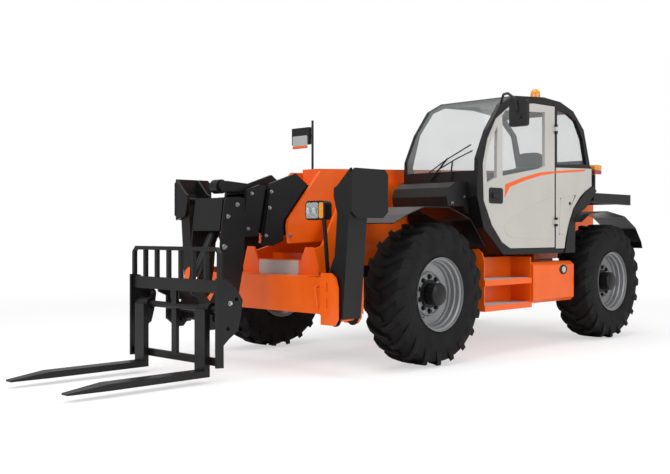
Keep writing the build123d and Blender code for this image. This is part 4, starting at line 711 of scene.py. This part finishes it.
# bolts, both sides, on the outermost surface of a node: node, body, x, z, size
boltSink = 0.001
boltSet = [
    ("boom_inner", "boom_inner", 3.0, 1.40, 0.03), ("boom_inner", "boom_inner", 3.1, 1.30, 0.03),
    ("boom_inner", "boom_inner", 3.14, 1.05, 0.036), ("boom_inner", "boom_inner", 3.2, 0.72, 0.036),
    ("boom_third", "boom_third", 2.796, 1.50, 0.024), ("boom_third", "boom_third", 2.84, 1.20, 0.024),
    ("boom_second", "boom_second", 2.60, 1.52, 0.026), ("boom_second", "boom_second", 2.62, 1.38, 0.026),
    ("boom_second", "boom_second", 2.66, 1.14, 0.026), ("boom_outer", "boom_outer", 2.40, 1.14, 0.028),
    ("carriage", "carriage", 3.40, 0.62, 0.03), ("main_frame", "chassis", -1.2, 0.80, 0.03),
    ("main_frame", "chassis", 2.2, 0.80, 0.03), ("cowl", "chassis", 0.93, 1.50, 0.02),
    ("cowl", "chassis", 1.12, 1.44, 0.02),
]
boltMeshes = {}
for node, body, x, z, size in boltSet:
    for out in (1, -1):
        place = surfaceAt(node, at(x, outside * out, z), leftward * -out)
        if place:
            if body not in boltMeshes:
                boltMeshes[body] = bmesh.new()
            bolt(boltMeshes[body], place - leftward * (out * boltSink), leftward * out, size)
for body, mesh in boltMeshes.items():
    pieceFrom(mesh, "bolts" + body, zincPlate, body)

# nameplate between the gussets, with its four screws
plateSet = {
    "low": (-0.26, 0.80), "high": (0.26, 0.92), "middle": (0, 0.86), "corner": 0.012, "lift": 0.004,
    "bevel": 0.001, "screwInset": 0.02, "screwRadius": 0.006, "screwHeight": 0.003,
}
place = surfaceAt("front_crossmember", at(outside, *plateSet["middle"]), -forward)
if place:
    x = place.x - middle.x
    plate, screws = bmesh.new(), bmesh.new()
    outline = rectangle(plateSet["low"], plateSet["high"], plateSet["corner"])
    frontPrism(plate, outline, x, x + plateSet["lift"])
    inset = plateSet["screwInset"]
    for y in (plateSet["low"][0] + inset, plateSet["high"][0] - inset):
        for z in (plateSet["low"][1] + inset, plateSet["high"][1] - inset):
            drum(screws, at(x + plateSet["lift"], y, z), forward, plateSet["screwRadius"],
                 plateSet["screwHeight"])
    pieceFrom(plate, "namePlate", greyEnamel, "chassis", bevel=plateSet["bevel"])
    pieceFrom(screws, "namePlateScrews", zincPlate, "chassis")

# treads: raised ribs along both steps, narrower at the top
treadSet = {
    "x": (-0.01, 0.73), "y": (0.90, 1.09), "tops": (0.48, 0.72), "ribs": 6,
    "sink": 0.001, "rise": 0.005, "halfWidth": 0.004, "halfTop": 0.002,
}
ribs = bmesh.new()
yLow, yHigh = treadSet["y"]
for top in treadSet["tops"]:
    for index in range(treadSet["ribs"]):
        y = yLow + (yHigh - yLow) * index / (treadSet["ribs"] - 1)
        foot, crest = top - treadSet["sink"], top + treadSet["rise"]
        wide, narrow = treadSet["halfWidth"], treadSet["halfTop"]
        outline = [(y - wide, foot), (y + wide, foot), (y + narrow, crest), (y - narrow, crest)]
        frontPrism(ribs, outline, *treadSet["x"])
pieceFrom(ribs, "treadRibs", zincPlate, "chassis")

# tank filler: an oval rubber ring with its cap
fillerSet = {
    "place": (-0.618, 0.784), "size": (0.075, 0.05), "steps": 32, "sink": 0.002, "rise": 0.004,
    "ringBevel": 0.001, "cap": 0.034, "capTop": 0.03, "capHeight": 0.012, "capBevel": 0.002,
}
fillerX, fillerZ = fillerSet["place"]
place = surfaceAt("tank_box", at(fillerX, outside, fillerZ), -leftward)
if place:
    y = place.y - middle.y
    oval = []
    for index in range(fillerSet["steps"]):
        angle = math.tau * index / fillerSet["steps"]
        oval.append((fillerX + fillerSet["size"][0] * math.cos(angle),
                     fillerZ + fillerSet["size"][1] * math.sin(angle)))
    filler, cap = bmesh.new(), bmesh.new()
    sidePrism(filler, oval, y - fillerSet["sink"], y + fillerSet["rise"])
    drum(cap, place + leftward * fillerSet["rise"], leftward, fillerSet["cap"], fillerSet["capHeight"],
         fillerSet["capTop"])
    pieceFrom(filler, "fillerRim", sealRubber, "chassis", bevel=fillerSet["ringBevel"])
    pieceFrom(cap, "fillerCap", greyEnamel, "chassis", bevel=fillerSet["capBevel"])
print("small parts ready")
